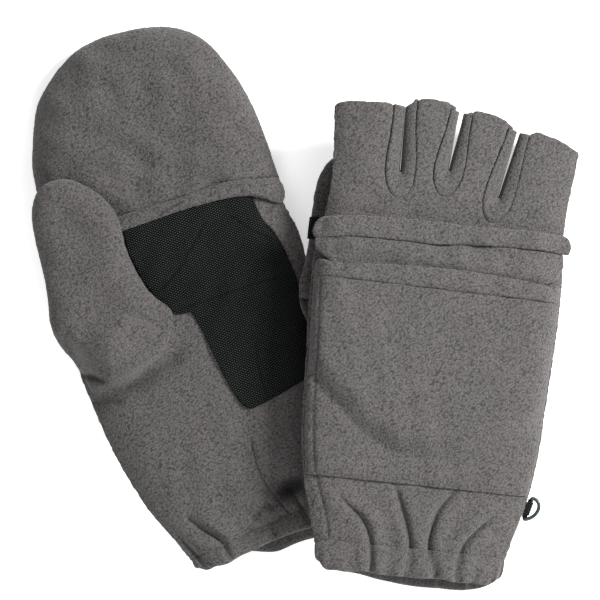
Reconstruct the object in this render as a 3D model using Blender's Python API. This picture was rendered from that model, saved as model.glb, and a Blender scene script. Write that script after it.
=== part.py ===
"""A pair of convertible flip-top mittens, lying side by side on a flat surface. Metres, +Z up.

The left mitten lies palm up with its hood closed over the fingers. The right one lies back up, its
left edge on the left mitten, with its hood flipped back and tucked into the pocket.

Both are cut from one pattern in millimetres: u runs across the hand, from the thumb's side, v runs
from the cuff to the fingertips, and h runs through the layers, from the back's pocket to the palm.
A Lay turns a pattern point into its place in the world.
"""

import math
from bisect import bisect_right

import bmesh
import bpy
from mathutils import Vector

MM = 0.001

# Layers, in h.
FLEECE = 2.0
SEAM_GAP = 0.3
POCKET_GAP = 5.0
HAND_GAP = 7.5
BACK_OUT = FLEECE + POCKET_GAP
PALM_OUT = BACK_OUT + FLEECE + HAND_GAP + FLEECE
PATCH_THICK = 0.8
PATCH_OUT = PALM_OUT + SEAM_GAP + PATCH_THICK
EDGE_FALL = PALM_OUT - BACK_OUT - 2 * FLEECE - SEAM_GAP

# Where the hood, the pocket, the thumb and the cuff lie, in v.
CUFF_END = -7.0
CUFF_SEAM = 12.0
HOOD_HINGE = 161.0
POCKET_SEAM = 41.0
POCKET_HEM = 133.0
POCKET_MOUTH = 143.0
THUMB_BASE = 90.0
THUMB_HINGE = 120.8
THUMB_TIP = 196.5
D_RING_V = 36.0

HOOD_THICK = 2.0
HOOD_CLEAR = 0.7
HOOD_STACK = HOOD_CLEAR + 2 * HOOD_THICK + 2 * SEAM_GAP
HOOD_ROUND_FROM = 185.0
HOOD_TIP = 256.0
HOOD_HALF = 56.0
HEM_THICK = 3.2
HEM_FOLD = 0.4

THUMB_WALL = 1.6
THUMB_GAP = 5.8
SLIT_HALF = 1.2
FOURCHETTE = 1.6

CUFF_HALF_WIDTH = 43.5
CUFF_HALF_HEIGHT = 7.2
CUFF_WALL = 1.1
ELASTIC = 0.8

# Body half outlines: (v, left edge, right edge). Those of the closed mitten draw in round the fingers.
HAND_SIDES = ((12, -44.5, 44.5), (26, -48.5, 48.5), (41, -53, 53), (64, -56, 56), (90, -57, 57),
              (120, -58.6, 58.6), (143, -59, 59))
OPEN_FINGERS = ((161, -56, 57), (181, -53.5, 57.5), (200, -55, 60), (222, -57, 61))
CLOSED_FINGERS = ((161, -54, 54), (181, -49, 49), (200, -47, 47), (222, -46, 46))
BODY_ROWS = (12.3, 26, 41, 64, 90, 105, 120, 143, 161, 181, 200, 222)
# Slits between the fingers: (u at the bottom, v at the bottom, u at the fingertips).
SLITS = (("index_middle", -22, 191, -24), ("middle_ring", 1, 193, 2.7), ("ring_little", 25.5, 182, 32.6))
CLOSED_FINGER_SCALE = 0.8

THUMB_SIDES = ((90, -52, -38), (97, -60, -29), (106, -64, -22), (121, -66, -17), (135, -66.5, -20),
               (150, -65, -22), (170, -63.5, -22), (184, -60, -26.5), (192, -54, -32), (196.5, -47, -39))

# The mitten that leans on the other one is lifted by its tilt from this u.
TILT_FOOT = 57.0

FLEECE_GREY = (0.141, 0.132, 0.129)
NYLON_BLACK = (0.016, 0.018, 0.017)
ELASTIC_GREY = (0.3, 0.3, 0.3)
RING_BLACK = (0.012, 0.022, 0.018)


class Lay:
    """One mitten's place: its sides, how it turns and bends, and which way up it lies."""

    def __init__(self, name, base, turn, middle, bend, palm_up, tilt, thumb_lift, fingers, finger_scale):
        self.name = name
        self.base = base
        self.turn = math.radians(turn)
        self.middle = middle
        self.bend = math.radians(bend)
        self.palm_up = palm_up
        self.tilt = tilt
        self.thumb_lift = thumb_lift
        self.sides = HAND_SIDES + fingers
        self.finger_scale = finger_scale

    def settle(self, v):
        """How far a mitten that lies on its back sinks past the ends of its pocket."""
        if not self.palm_up:
            return 0.0
        cuff = 5.5 * min(max((41 - v) / 29, 0), 1)
        hood = 3.8 * min(max((v - 146) / 35, 0), 1)
        return cuff + hood

    def point(self, u, v, h):
        across, along = u, v
        turned = 0.0
        bend_from, bend_to = 130.0, 70.0
        if self.bend and v < bend_from:
            radius = (bend_from - bend_to) / self.bend
            turned = min(self.bend, (bend_from - v) / radius)
            straight = max(0.0, bend_to - v)
            middle_u = radius * (1 - math.cos(turned)) + straight * math.sin(turned)
            middle_v = bend_from - radius * math.sin(turned) - straight * math.cos(turned)
            across = middle_u + u * math.cos(turned)
            along = middle_v + u * math.sin(turned)
        across += self.middle
        x = self.base[0] + across * math.cos(self.turn) - along * math.sin(self.turn)
        y = self.base[1] + across * math.sin(self.turn) + along * math.cos(self.turn)
        if self.palm_up:
            z = h - self.settle(v)
        else:
            z = PATCH_OUT - h + self.tilt * (TILT_FOOT - u)
        return Vector((x, y, z)) * MM

    def back(self, u, v):
        """The back panel's outer layer: flat under a mitten that lies on it, else crowned."""
        return BACK_OUT if self.palm_up else BACK_OUT + EDGE_FALL * crown(self.edge_distance(u, v))

    def palm(self, u, v):
        return PALM_OUT - EDGE_FALL * crown(self.edge_distance(u, v)) if self.palm_up else PALM_OUT

    def edge_distance(self, u, v):
        left, right = between(self.sides, v)
        return max(0.0, min(u - left, right - u))

    def width(self, v):
        return between(self.sides, v)


LEFT = Lay("left", (-21.4, -114.85), 14, -5.5, 11, True, 0.0, 2.4, CLOSED_FINGERS, CLOSED_FINGER_SCALE)
RIGHT = Lay("right", (47.5, -124.35), -6, 0.0, 0, False, 0.25, 1.6, OPEN_FINGERS, 1.0)


def between(table, v):
    """The two edges at v, read from a table of (v, left, right)."""
    i = min(max(bisect_right([row[0] for row in table], v), 1), len(table) - 1)
    low, high = table[i - 1], table[i]
    share = min(max((v - low[0]) / (high[0] - low[0]), 0), 1)
    return tuple(low[k] + share * (high[k] - low[k]) for k in (1, 2))


def crown(distance, zone=24.0):
    """1 at a seamed edge, falling along a quarter circle to 0 at the zone's end."""
    inside = 1 - min(distance / zone, 1)
    return 1 - math.sqrt(1 - inside * inside)


def finger_tops(u):
    """The cut ends of the fingers lie on a shallow arc."""
    return 221 - 0.0026 * (u + 10) ** 2


def hood_half(v):
    """The hood's half width at v on the closed mitten: straight sides and a round tip."""
    over = max(v - HOOD_ROUND_FROM, 0) / (HOOD_TIP + 0.6 - HOOD_ROUND_FROM)
    return HOOD_HALF * (1 - over**2.6) ** (1 / 2.6)


# ---- Solids ----


def material(name, colour, roughness, metallic=0.0):
    made = bpy.data.materials.new(name)
    made.use_nodes = True
    shader = made.node_tree.nodes["Principled BSDF"]
    shader.inputs["Base Color"].default_value = (*colour, 1)
    shader.inputs["Roughness"].default_value = roughness
    shader.inputs["Metallic"].default_value = metallic
    return made


def add(name, points, faces, finish, pivot=None):
    """An object from world points and faces. On a moving piece, pivot is the empty on its joint's axis."""
    origin = pivot.location if pivot else Vector((0, 0, 0))
    mesh = bpy.data.meshes.new(name)
    mesh.from_pydata([point - origin for point in points], [], faces)
    shape = bmesh.new()
    shape.from_mesh(mesh)
    bmesh.ops.triangulate(shape, faces=shape.faces)
    bmesh.ops.recalc_face_normals(shape, faces=shape.faces)
    shape.to_mesh(mesh)
    shape.free()
    mesh.materials.append(finish)
    made = bpy.data.objects.new(name, mesh)
    made.parent = pivot
    bpy.context.collection.objects.link(made)
    return made


def hinge(name, place):
    empty = bpy.data.objects.new(name, None)
    empty.location = place
    bpy.context.collection.objects.link(empty)
    return empty


COLUMNS = (0, 0.035, 0.12, 0.27, 0.5, 0.73, 0.88, 0.965, 1)


def sheet(lay, name, rows, sides, low, high, finish, pivot=None, columns=COLUMNS):
    """A closed panel over rows of v between its sides, from layer low to layer high."""
    grid = []
    for v in rows:
        left, right = sides(v)
        for share in columns:
            u = left + share * (right - left)
            grid.append((u, min(v, finger_tops(u)) if v == BODY_ROWS[-1] else v))
    count, wide = len(grid), len(columns)
    points = [lay.point(u, v, low(u, v)) for u, v in grid]
    points += [lay.point(u, v, high(u, v)) for u, v in grid]
    faces = []
    for row in range(len(rows) - 1):
        for column in range(wide - 1):
            corner = row * wide + column
            quad = (corner, corner + 1, corner + wide + 1, corner + wide)
            faces.append(quad[::-1])
            faces.append(tuple(i + count for i in quad))
    rim = list(range(wide)) + [row * wide + wide - 1 for row in range(1, len(rows))]
    rim += list(range(count - 2, count - wide - 1, -1)) + [row * wide for row in range(len(rows) - 2, 0, -1)]
    for first, second in zip(rim, rim[1:] + rim[:1]):
        faces.append((first, second, second + count, first + count))
    return add(name, points, faces, finish, pivot)


def prism(lay, name, outline, low, high, finish, pivot=None):
    """An outline in u and v, filled from layer low to layer high."""
    count = len(outline)
    points = [lay.point(u, v, low(u, v)) for u, v in outline]
    points += [lay.point(u, v, high(u, v)) for u, v in outline]
    faces = [tuple(range(count)), tuple(range(2 * count - 1, count - 1, -1))]
    faces += [(i, (i + 1) % count, (i + 1) % count + count, i + count) for i in range(count)]
    return add(name, points, faces, finish, pivot)


def cut(target, cutter, operation):
    """Cuts with a hidden cutter, or keeps only what lies inside it."""
    cutter.hide_render = True
    cutter.display_type = "WIRE"
    boolean = target.modifiers.new(operation.lower(), "BOOLEAN")
    boolean.operation = operation
    boolean.object = cutter


def ring_of(lay, name, profile, finish, stations=32):
    """A profile of (inset, v) turned round the cuff's flattened oval."""
    points = []
    middle = BACK_OUT + (PALM_OUT - BACK_OUT) / 2
    for station in range(stations):
        angle = 2 * math.pi * station / stations
        cosine, sine = math.cos(angle), math.sin(angle)
        for inset, v in profile:
            u = (CUFF_HALF_WIDTH - inset) * math.copysign(abs(cosine) ** 0.8, cosine)
            h = middle + (CUFF_HALF_HEIGHT - inset) * math.copysign(abs(sine) ** 0.8, sine)
            points.append(lay.point(u, v, h))
    wide, faces = len(profile), []
    for station in range(stations):
        ahead = (station + 1) % stations
        for i in range(wide):
            j = (i + 1) % wide
            faces.append((station * wide + i, station * wide + j, ahead * wide + j, ahead * wide + i))
    return add(name, points, faces, finish)


def level(h):
    return lambda u, v: h


def offset(surface, by):
    return lambda u, v: surface(u, v) + by


# ---- Parts of one mitten ----


def slit_frame(lay, slit):
    """Where a slit starts and which way it runs, in u and v."""
    _, bottom_u, bottom_v, top_u = slit
    start = Vector((bottom_u * lay.finger_scale, bottom_v))
    end = Vector((top_u * lay.finger_scale, 225))
    return start, (end - start).normalized()


def slit_side(lay, slit, radius, reach):
    """A U of the given radius round a slit's bottom, its arms reach long."""
    start, along = slit_frame(lay, slit)
    across = Vector((along.y, -along.x))
    arc = [math.pi * step / 6 for step in range(7)]
    turn = [start + radius * (math.cos(a) * across - math.sin(a) * along) for a in arc]
    return [turn[0] + reach * along, *turn, turn[-1] + reach * along]


def body(lay, fleece):
    """The back and palm panels, each slit into four fingers, and the gussets between the fingers."""
    back = sheet(lay, f"{lay.name}_back_panel", BODY_ROWS, lay.width, lay.back,
                 offset(lay.back, FLEECE), fleece)
    palm = sheet(lay, f"{lay.name}_palm_panel", BODY_ROWS, lay.width, offset(lay.palm, -FLEECE),
                 lay.palm, fleece)
    for slit in SLITS:
        slot = prism(lay, f"{lay.name}_slit_{slit[0]}", slit_side(lay, slit, SLIT_HALF, 60),
                     level(-20), level(50), fleece)
        cut(back, slot, "DIFFERENCE")
        cut(palm, slot, "DIFFERENCE")
        fourchette(lay, slit, fleece)
    hole = prism(lay, f"{lay.name}_thumb_hole", oval(-42, 108, 11, 8), level(-20), level(50), fleece)
    cut(palm, hole, "DIFFERENCE")


def oval(u, v, half_u, half_v):
    turns = [2 * math.pi * step / 12 for step in range(12)]
    return [(u + half_u * math.cos(a), v + half_v * math.sin(a)) for a in turns]


def fourchette(lay, slit, fleece):
    """The strip that closes the sides of two neighbouring fingers and goes round between them."""
    start, along = slit_frame(lay, slit)
    reach = (finger_tops(start.x) - 1.5 - start.y) / along.y
    outer = slit_side(lay, slit, SLIT_HALF + FOURCHETTE, reach)
    inner = slit_side(lay, slit, SLIT_HALF, reach)
    clear = FLEECE + 2 * SEAM_GAP
    prism(lay, f"{lay.name}_fourchette_{slit[0]}", outer + inner[::-1], offset(lay.back, clear),
          offset(lay.palm, -clear), fleece)


def patch(lay, nylon):
    """The nylon palm reinforcement, a skin just off the palm panel, cut to its outline."""
    skin = sheet(lay, f"{lay.name}_palm_patch", BODY_ROWS, lay.width, offset(lay.palm, SEAM_GAP),
                 offset(lay.palm, SEAM_GAP + PATCH_THICK), nylon)
    outline = ((-21.5, 159.7), (43, 159.7), (48.5, 145), (54, 128), (54, 74), (26, 72), (13, 68), (7, 84),
               (3.5, 108), (0, 117), (-7, 119), (-14, 129), (-19, 141))
    shape = prism(lay, f"{lay.name}_patch_outline", outline, level(-20), level(50), nylon)
    cut(skin, shape, "INTERSECT")


def thumb(lay, fleece, nylon):
    """The thumb's gusset on the palm, and beyond its fold the two shells that lift."""
    inner = PATCH_OUT + lay.thumb_lift
    top = inner + THUMB_WALL + THUMB_GAP + THUMB_WALL
    pivot = hinge(f"{lay.name}_thumb_hinge", lay.point(0, THUMB_HINGE, top))

    def sides(v):
        return between(THUMB_SIDES, v)

    def flat(h):
        """A layer of the thumb, which spans the hood's slope without settling."""
        return lambda u, v: h + lay.settle(v)

    def dome(u, v):
        """The outer shell's top: full in the middle, down to the inner shell at its sides and tip."""
        left, right = sides(v)
        distance = min(u - left, right - u, THUMB_TIP - v)
        return top + lay.settle(v) - (THUMB_GAP - SEAM_GAP) * crown(max(distance, 0), 9)

    def gusset_top(u, v):
        """The gusset rises from the palm's surface to the thumb's full height at the fold."""
        left, right = sides(v)
        distance = min(u - left, right - u, v - THUMB_BASE)
        rim = lay.palm(u, v) + SEAM_GAP + THUMB_WALL
        return rim + (top - rim) * (1 - crown(max(distance, 0), 14))

    thumb_rows = (121.3, 135, 150, 170, 184, 192, 196.5)
    narrow = (0, 0.07, 0.2, 0.5, 0.8, 0.93, 1)
    sheet(lay, f"{lay.name}_thumb_outer", thumb_rows, sides, offset(dome, -THUMB_WALL), dome, fleece,
          pivot, narrow)
    sheet(lay, f"{lay.name}_thumb_inner", thumb_rows, sides, flat(inner), flat(inner + THUMB_WALL),
          fleece, pivot, narrow)
    skin_top = inner - SEAM_GAP
    outline = ((-64.5, 126), (-24, 126), (-25, 163), (-62, 161))
    prism(lay, f"{lay.name}_thumb_patch", outline, flat(skin_top - PATCH_THICK), flat(skin_top),
          nylon, pivot)
    sheet(lay, f"{lay.name}_thumb_gusset", (90, 94, 99, 106, 113, 120.4), sides,
          offset(gusset_top, -THUMB_WALL), gusset_top, fleece, None, narrow)


def pocket(lay, fleece):
    """The pocket on the back of the hand, open towards the fingers, and its hem."""
    base = level(0) if lay.palm_up else offset(lay.back, -HOOD_STACK - FLEECE - SEAM_GAP)

    def sides(v):
        left, right = lay.width(v)
        return left + 1.5, right - 1.5

    def rise(u, v):
        """1 at the side and bottom seams, 0 over the rest."""
        left, right = sides(v)
        return crown(max(min(u - left, right - u, 2 * (v - POCKET_SEAM)), 0), 5)

    def outer(u, v):
        floor = base(u, v)
        return floor + (lay.back(u, v) - SEAM_GAP - FLEECE - floor) * rise(u, v)

    def fold(u, v):
        return HEM_FOLD * (1 - rise(u, v))

    rows = (41, 42, 44, 64, 90, 120, POCKET_HEM - SEAM_GAP)
    columns = (0, 0.012, 0.05, 0.15, 0.5, 0.85, 0.95, 0.988, 1)
    sheet(lay, f"{lay.name}_pocket_panel", rows, sides, outer, offset(outer, FLEECE), fleece, None, columns)
    hem_low = outer if lay.palm_up else lambda u, v: outer(u, v) - fold(u, v)
    hem_high = (lambda u, v: outer(u, v) + FLEECE + fold(u, v)) if lay.palm_up else offset(outer, FLEECE)
    sheet(lay, f"{lay.name}_pocket_hem", (POCKET_HEM, 138, POCKET_MOUTH), sides, hem_low, hem_high,
          fleece, None, columns)


def closed_hood(lay, fleece):
    """The hood over the fingers: its back panel flat on the surface, its palm panel crowned over them."""
    pivot = hinge(f"{lay.name}_hood_hinge", lay.point(0, HOOD_HINGE, BACK_OUT - HOOD_CLEAR - HOOD_THICK / 2))
    low = BACK_OUT - HOOD_CLEAR - HOOD_THICK
    rim = BACK_OUT - HOOD_CLEAR + SEAM_GAP + HOOD_THICK
    full = PALM_OUT + SEAM_GAP + HOOD_THICK

    def sides(v):
        return -hood_half(v), hood_half(v)

    def crest(u, v):
        distance = min(hood_half(v) - abs(u), HOOD_TIP - v)
        return full - (full - rim) * crown(max(distance, 0), 12)

    tip_rows = (205, 222, 234, 244, 251, 255, HOOD_TIP)
    sheet(lay, f"{lay.name}_hood_back_panel", (HOOD_HINGE + 0.3, 172, 185, *tip_rows), sides, level(low),
          level(low + HOOD_THICK), fleece, pivot)
    sheet(lay, f"{lay.name}_hood_palm_panel", (172.3, 181, 190, *tip_rows), sides,
          offset(crest, -HOOD_THICK), crest, fleece, pivot)
    sheet(lay, f"{lay.name}_hood_hem", (160, 162, 166, 170, 172), lambda v: (-57, 57),
          offset(crest, -HOOD_THICK), offset(crest, HEM_THICK - HOOD_THICK), fleece, pivot)


def open_hood(lay, fleece):
    """The hood flipped back: its two panels lie on the back panel, under the pocket."""
    pivot = hinge(f"{lay.name}_hood_hinge", lay.point(0, HOOD_HINGE, BACK_OUT - HOOD_CLEAR - HOOD_THICK / 2))

    def sides(v):
        half = min(hood_half(2 * HOOD_HINGE - v), 50 if v < POCKET_MOUTH + 2 else HOOD_HALF)
        return -half, half

    inner = offset(lay.back, -HOOD_CLEAR - HOOD_THICK)
    outer = offset(inner, -SEAM_GAP - HOOD_THICK)
    tip_rows = (66, 67, 71, 78, 88, 100, 117, 144)
    sheet(lay, f"{lay.name}_hood_back_panel", (*tip_rows, 148, 160.7), sides, inner,
          offset(inner, HOOD_THICK), fleece, pivot)
    sheet(lay, f"{lay.name}_hood_palm_panel", (*tip_rows, 148, 152.7), sides, outer,
          offset(outer, HOOD_THICK), fleece, pivot)
    sheet(lay, f"{lay.name}_hood_hem", (153, 155, 160, 165, 167), lambda v: (-60, 60),
          offset(outer, HOOD_THICK - HEM_THICK - 1.8), offset(outer, HOOD_THICK - 0.8), fleece, pivot)


def cuff(lay, fleece, elastic):
    """The cuff's casing, a U folded round its elastic and open where it is stitched to the body."""
    wall, gap = CUFF_WALL, SEAM_GAP
    inside = 2 * (wall + gap) + ELASTIC
    end = CUFF_END
    casing = ((0, CUFF_SEAM), (0, end + 1), (1, end), (inside - 1, end), (inside, end + 1),
              (inside, CUFF_SEAM), (inside - wall, CUFF_SEAM), (inside - wall, end + 1.5),
              (wall, end + 1.5), (wall, CUFF_SEAM))
    ring_of(lay, f"{lay.name}_cuff_casing", casing, fleece)
    first, last = wall + gap, wall + gap + ELASTIC
    band = ((first, CUFF_SEAM - 2), (first, end + 2), (last, end + 2), (last, CUFF_SEAM - 2))
    ring_of(lay, f"{lay.name}_cuff_elastic", band, elastic)


def seam_level(lay, v):
    """The side seam's layer, midway between the two panels' edges."""
    edge = lay.width(v)[1]
    return (lay.back(edge, v) + FLEECE + lay.palm(edge, v) - FLEECE) / 2


def d_ring(lay, nylon, metal):
    """A small D-ring at the side seam near the cuff, its straight bar held by a folded tab."""
    wire, half, reach, tab_half = 0.6, 5.2, 5.6, 3.2
    edge = lay.width(D_RING_V)[1]
    bar_u, h = edge + 2.6, seam_level(lay, D_RING_V)
    pivot = hinge(f"{lay.name}_d_ring_hinge", level_point(lay, bar_u, D_RING_V, h, edge))
    slant = 0.27
    turns = [-math.pi / 2 + math.pi * step / 10 for step in range(11)]
    bow = [(bar_u + reach * math.cos(a) + slant * half * math.sin(a), D_RING_V + half * math.sin(a))
           for a in turns]
    curve = bpy.data.curves.new(f"{lay.name}_d_ring", "CURVE")
    curve.dimensions = "3D"
    curve.bevel_depth = wire * MM
    curve.bevel_resolution = 1
    spline = curve.splines.new("POLY")
    spline.points.add(len(bow) - 1)
    for knot, (u, v) in zip(spline.points, bow):
        knot.co = (*(level_point(lay, u, v, h, edge) - pivot.location), 1)
    spline.use_cyclic_u = True
    curve.materials.append(metal)
    ring = bpy.data.objects.new(f"{lay.name}_d_ring", curve)
    ring.parent = pivot
    bpy.context.collection.objects.link(ring)
    tab(lay, nylon, bar_u, h, edge, tab_half, slant)


def level_point(lay, u, v, h, edge):
    """A point beyond the side seam, level with it."""
    at_edge = lay.point(edge, D_RING_V, h)
    place = lay.point(u, v, h)
    place.z = at_edge.z
    return place


def tab(lay, nylon, bar_u, h, edge, half, slant):
    """A strip folded round the ring's bar, its two ends at the side seam."""
    near, far, thick = 1.0, 1.8, 0.8
    arc = [math.pi / 2 - math.pi * step / 6 for step in range(7)]
    outline = [(edge + 0.5, far)] + [(bar_u + far * math.cos(a), far * math.sin(a)) for a in arc]
    outline += [(edge + 0.5, -far), (edge + 0.5, -near)]
    outline += [(bar_u + near * math.cos(a), near * math.sin(a)) for a in arc[::-1]]
    outline += [(edge + 0.5, near)]
    count = len(outline)
    points = []
    for side in (-1, 1):
        for u, rise in outline:
            place = level_point(lay, u + slant * side * half, D_RING_V + side * half, h, edge)
            points.append(place + Vector((0, 0, rise * MM)))
    faces = [tuple(range(count)), tuple(range(2 * count - 1, count - 1, -1))]
    faces += [(i, (i + 1) % count, (i + 1) % count + count, i + count) for i in range(count)]
    add(f"{lay.name}_d_ring_tab", points, faces, nylon)


def clear_scene():
    for old in list(bpy.data.objects):
        bpy.data.objects.remove(old)


def main():
    clear_scene()
    fleece = material("fleece", FLEECE_GREY, 0.95)
    nylon = material("nylon", NYLON_BLACK, 0.6)
    elastic = material("elastic", ELASTIC_GREY, 0.8)
    metal = material("ring", RING_BLACK, 0.4, 0.5)
    for lay in (LEFT, RIGHT):
        body(lay, fleece)
        patch(lay, nylon)
        thumb(lay, fleece, nylon)
        pocket(lay, fleece)
        hood = closed_hood if lay.palm_up else open_hood
        hood(lay, fleece)
        cuff(lay, fleece, elastic)
        d_ring(lay, nylon, metal)


main()
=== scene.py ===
"""The looks of a pair of convertible flip-top mittens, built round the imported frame.

Every piece is cut from one pattern in millimetres: u runs across the hand, from the thumb's side, v
runs from the cuff to the fingertips, and h runs through the layers, from the back's pocket to the
palm. A Lay turns a pattern point into its place in the world, as it does for the CAD.
"""

import math

import bmesh
import bpy
import numpy as np
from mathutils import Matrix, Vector, geometry, kdtree


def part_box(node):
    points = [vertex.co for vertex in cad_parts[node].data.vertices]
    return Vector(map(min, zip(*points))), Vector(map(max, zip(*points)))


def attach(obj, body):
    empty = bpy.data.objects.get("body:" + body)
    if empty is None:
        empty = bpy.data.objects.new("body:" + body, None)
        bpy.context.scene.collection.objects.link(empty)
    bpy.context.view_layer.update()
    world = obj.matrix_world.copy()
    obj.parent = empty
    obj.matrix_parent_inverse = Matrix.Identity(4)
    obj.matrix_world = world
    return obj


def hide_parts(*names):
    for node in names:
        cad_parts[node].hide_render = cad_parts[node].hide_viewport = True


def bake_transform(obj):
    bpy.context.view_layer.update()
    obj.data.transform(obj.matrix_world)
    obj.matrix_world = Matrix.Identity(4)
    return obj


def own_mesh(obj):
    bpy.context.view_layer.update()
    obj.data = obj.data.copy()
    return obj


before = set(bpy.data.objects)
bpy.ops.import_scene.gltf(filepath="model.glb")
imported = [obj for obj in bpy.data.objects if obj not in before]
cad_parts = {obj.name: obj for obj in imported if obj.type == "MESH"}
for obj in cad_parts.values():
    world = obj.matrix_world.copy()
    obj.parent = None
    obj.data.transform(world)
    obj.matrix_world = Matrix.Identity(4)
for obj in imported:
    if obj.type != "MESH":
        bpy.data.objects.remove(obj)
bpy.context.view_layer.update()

MM = 0.001

# Layers, in h.
FLEECE = 2.0
SEAM_GAP = 0.3
BACK_OUT = 7.0
PALM_OUT = 18.5
PATCH_THICK = 0.8
PATCH_OUT = PALM_OUT + SEAM_GAP + PATCH_THICK
EDGE_FALL = 7.2
EDGE_ZONE = 24.0

# Where things lie, in v.
CUFF_END = -7.0
CUFF_SEAM = 12.0
HOOD_HINGE = 161.0
POCKET_SEAM = 41.0
POCKET_STITCH = 133.5
POCKET_MOUTH = 143.0
THUMB_HINGE = 120.8
D_RING_V = 36.0
D_RING_BAR = 53.93

HOOD_THICK = 2.0
HOOD_CLEAR = 0.7
THUMB_WALL = 1.6
THUMB_GAP = 5.8
CUFF_HALF_HEIGHT = 7.0
TILT_FOOT = 57.0

# Outlines: (v, left edge, right edge).
HAND_SIDES = ((-8, -42, 42), (0, -43, 43), (12, -44.5, 44.5), (26, -48.5, 48.5), (41, -53, 53),
              (64, -56, 56), (90, -57, 57), (120, -58.6, 58.6), (143, -59, 59))
OPEN_FINGERS = ((161, -56, 57), (181, -53.5, 57.5), (200, -55, 60), (222, -57, 61.5))
CLOSED_FINGERS = ((161, -54, 54), (181, -49, 49), (200, -47, 47), (222, -46, 46))
THUMB_LEFT = ((-48, 90), (-55, 96), (-57.6, 104), (-60, 112), (-64, 120), (-65.4, 129), (-63.8, 140),
              (-63, 152), (-63, 168), (-61.6, 181), (-58, 189), (-52.5, 193.4), (-46.5, 194.2))
THUMB_RIGHT = ((-39, 192.6), (-31.8, 187), (-26.5, 181), (-23, 174), (-21.3, 166), (-21.6, 156),
               (-20.6, 148), (-18.6, 140), (-15.6, 132), (-11.5, 126), (-8, 121), (-11, 112),
               (-19, 102), (-30, 94.5), (-40, 90))
CLOSED_HOOD = ((-55.5, 162), (-57, 172), (-57, 186), (-56.5, 202), (-54, 213), (-50.5, 224),
               (-46.5, 233), (-39.5, 241), (-31.5, 248), (-21, 253.8), (-9, 256.5), (6, 256.6),
               (20, 254.6), (31, 249.5), (38.5, 242), (43.5, 233), (48.5, 221), (52, 208),
               (54, 194), (55.2, 180), (56, 170), (55.5, 162))
PATCH = ((-21.4, 168.5), (-21.8, 154), (-20.4, 147), (-18.4, 139), (-15.2, 131), (-11, 124.5),
         (-6.7, 119.8), (-3.6, 118.6), (0.4, 118), (2.2, 110), (4, 97), (5.2, 82), (7, 69.5),
         (9.6, 65.2), (14, 64.4), (26, 65), (38, 66.5), (50, 68.5), (53, 76), (53.6, 92), (53.6, 108),
         (52.4, 124), (50.8, 136), (48, 146), (44, 153.5), (42.5, 161), (42, 168.5))
# Slits between the fingers: (name, bottom u, bottom v, u at the fingertips, half width there).
SLITS = (("index_middle", -23.4, 188.5, -24.2, 0.3), ("middle_ring", -0.4, 192, 3.6, 1.3),
         ("ring_little", 24.6, 182, 33.4, 0.8))
# The cut ends of the stubs: (u, v) along each one.
STUB_ENDS = (((-57, 216.3), (-50, 217.6), (-31, 218.9), (-25, 219.8)),
             ((-23.5, 221.9), (-12.5, 223.2), (-4, 223), (1.5, 222.3)),
             ((5, 221), (17.5, 219.8), (26, 217.4), (31.5, 215)),
             ((33.5, 212.8), (40, 214.2), (51, 211.8), (60, 208.2)))


def between(table, v):
    """The left and right edges at v, from a table of (v, left, right), smoothed."""
    rows = np.array(table, float)
    knots = np.linspace(rows[0, 0], rows[-1, 0], 120)
    soft = np.ones(9) / 9
    edges = []
    for column in (1, 2):
        plain = np.interp(knots, rows[:, 0], rows[:, column])
        padded = np.pad(plain, 4, mode="reflect", reflect_type="odd")
        edges.append(np.interp(v, knots, np.convolve(padded, soft, "valid")))
    return edges


def lapped(line, u, v, depth):
    """How far a layer sinks past a line, on its left, where the next layer is sewn over it."""
    near, side = line.near(u, v)
    return depth * ramp(near * side, 0.0, 1.5)


def crown(distance, zone):
    """1 at a seamed edge, falling along a quarter circle to 0 at the zone's end."""
    inside = 1 - np.clip(distance / zone, 0, 1)
    return 1 - np.sqrt(1 - inside * inside)


def ramp(x, start, end):
    """0 before start, 1 after end, smooth between them."""
    share = np.clip((x - start) / (end - start), 0, 1)
    return share * share * (3 - 2 * share)


def lumps(u, v, amplitude, size, seed):
    """Smooth unevenness: a sum of waves about size long, the same each run."""
    random = np.random.default_rng(seed)
    total = np.zeros_like(u)
    for _ in range(14):
        angle, phase = random.uniform(0, 2 * math.pi, 2)
        wave = 2 * math.pi / (size * random.uniform(0.7, 1.6))
        total += np.cos(wave * (u * math.cos(angle) + v * math.sin(angle)) + phase)
    return amplitude * total / math.sqrt(7)


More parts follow.
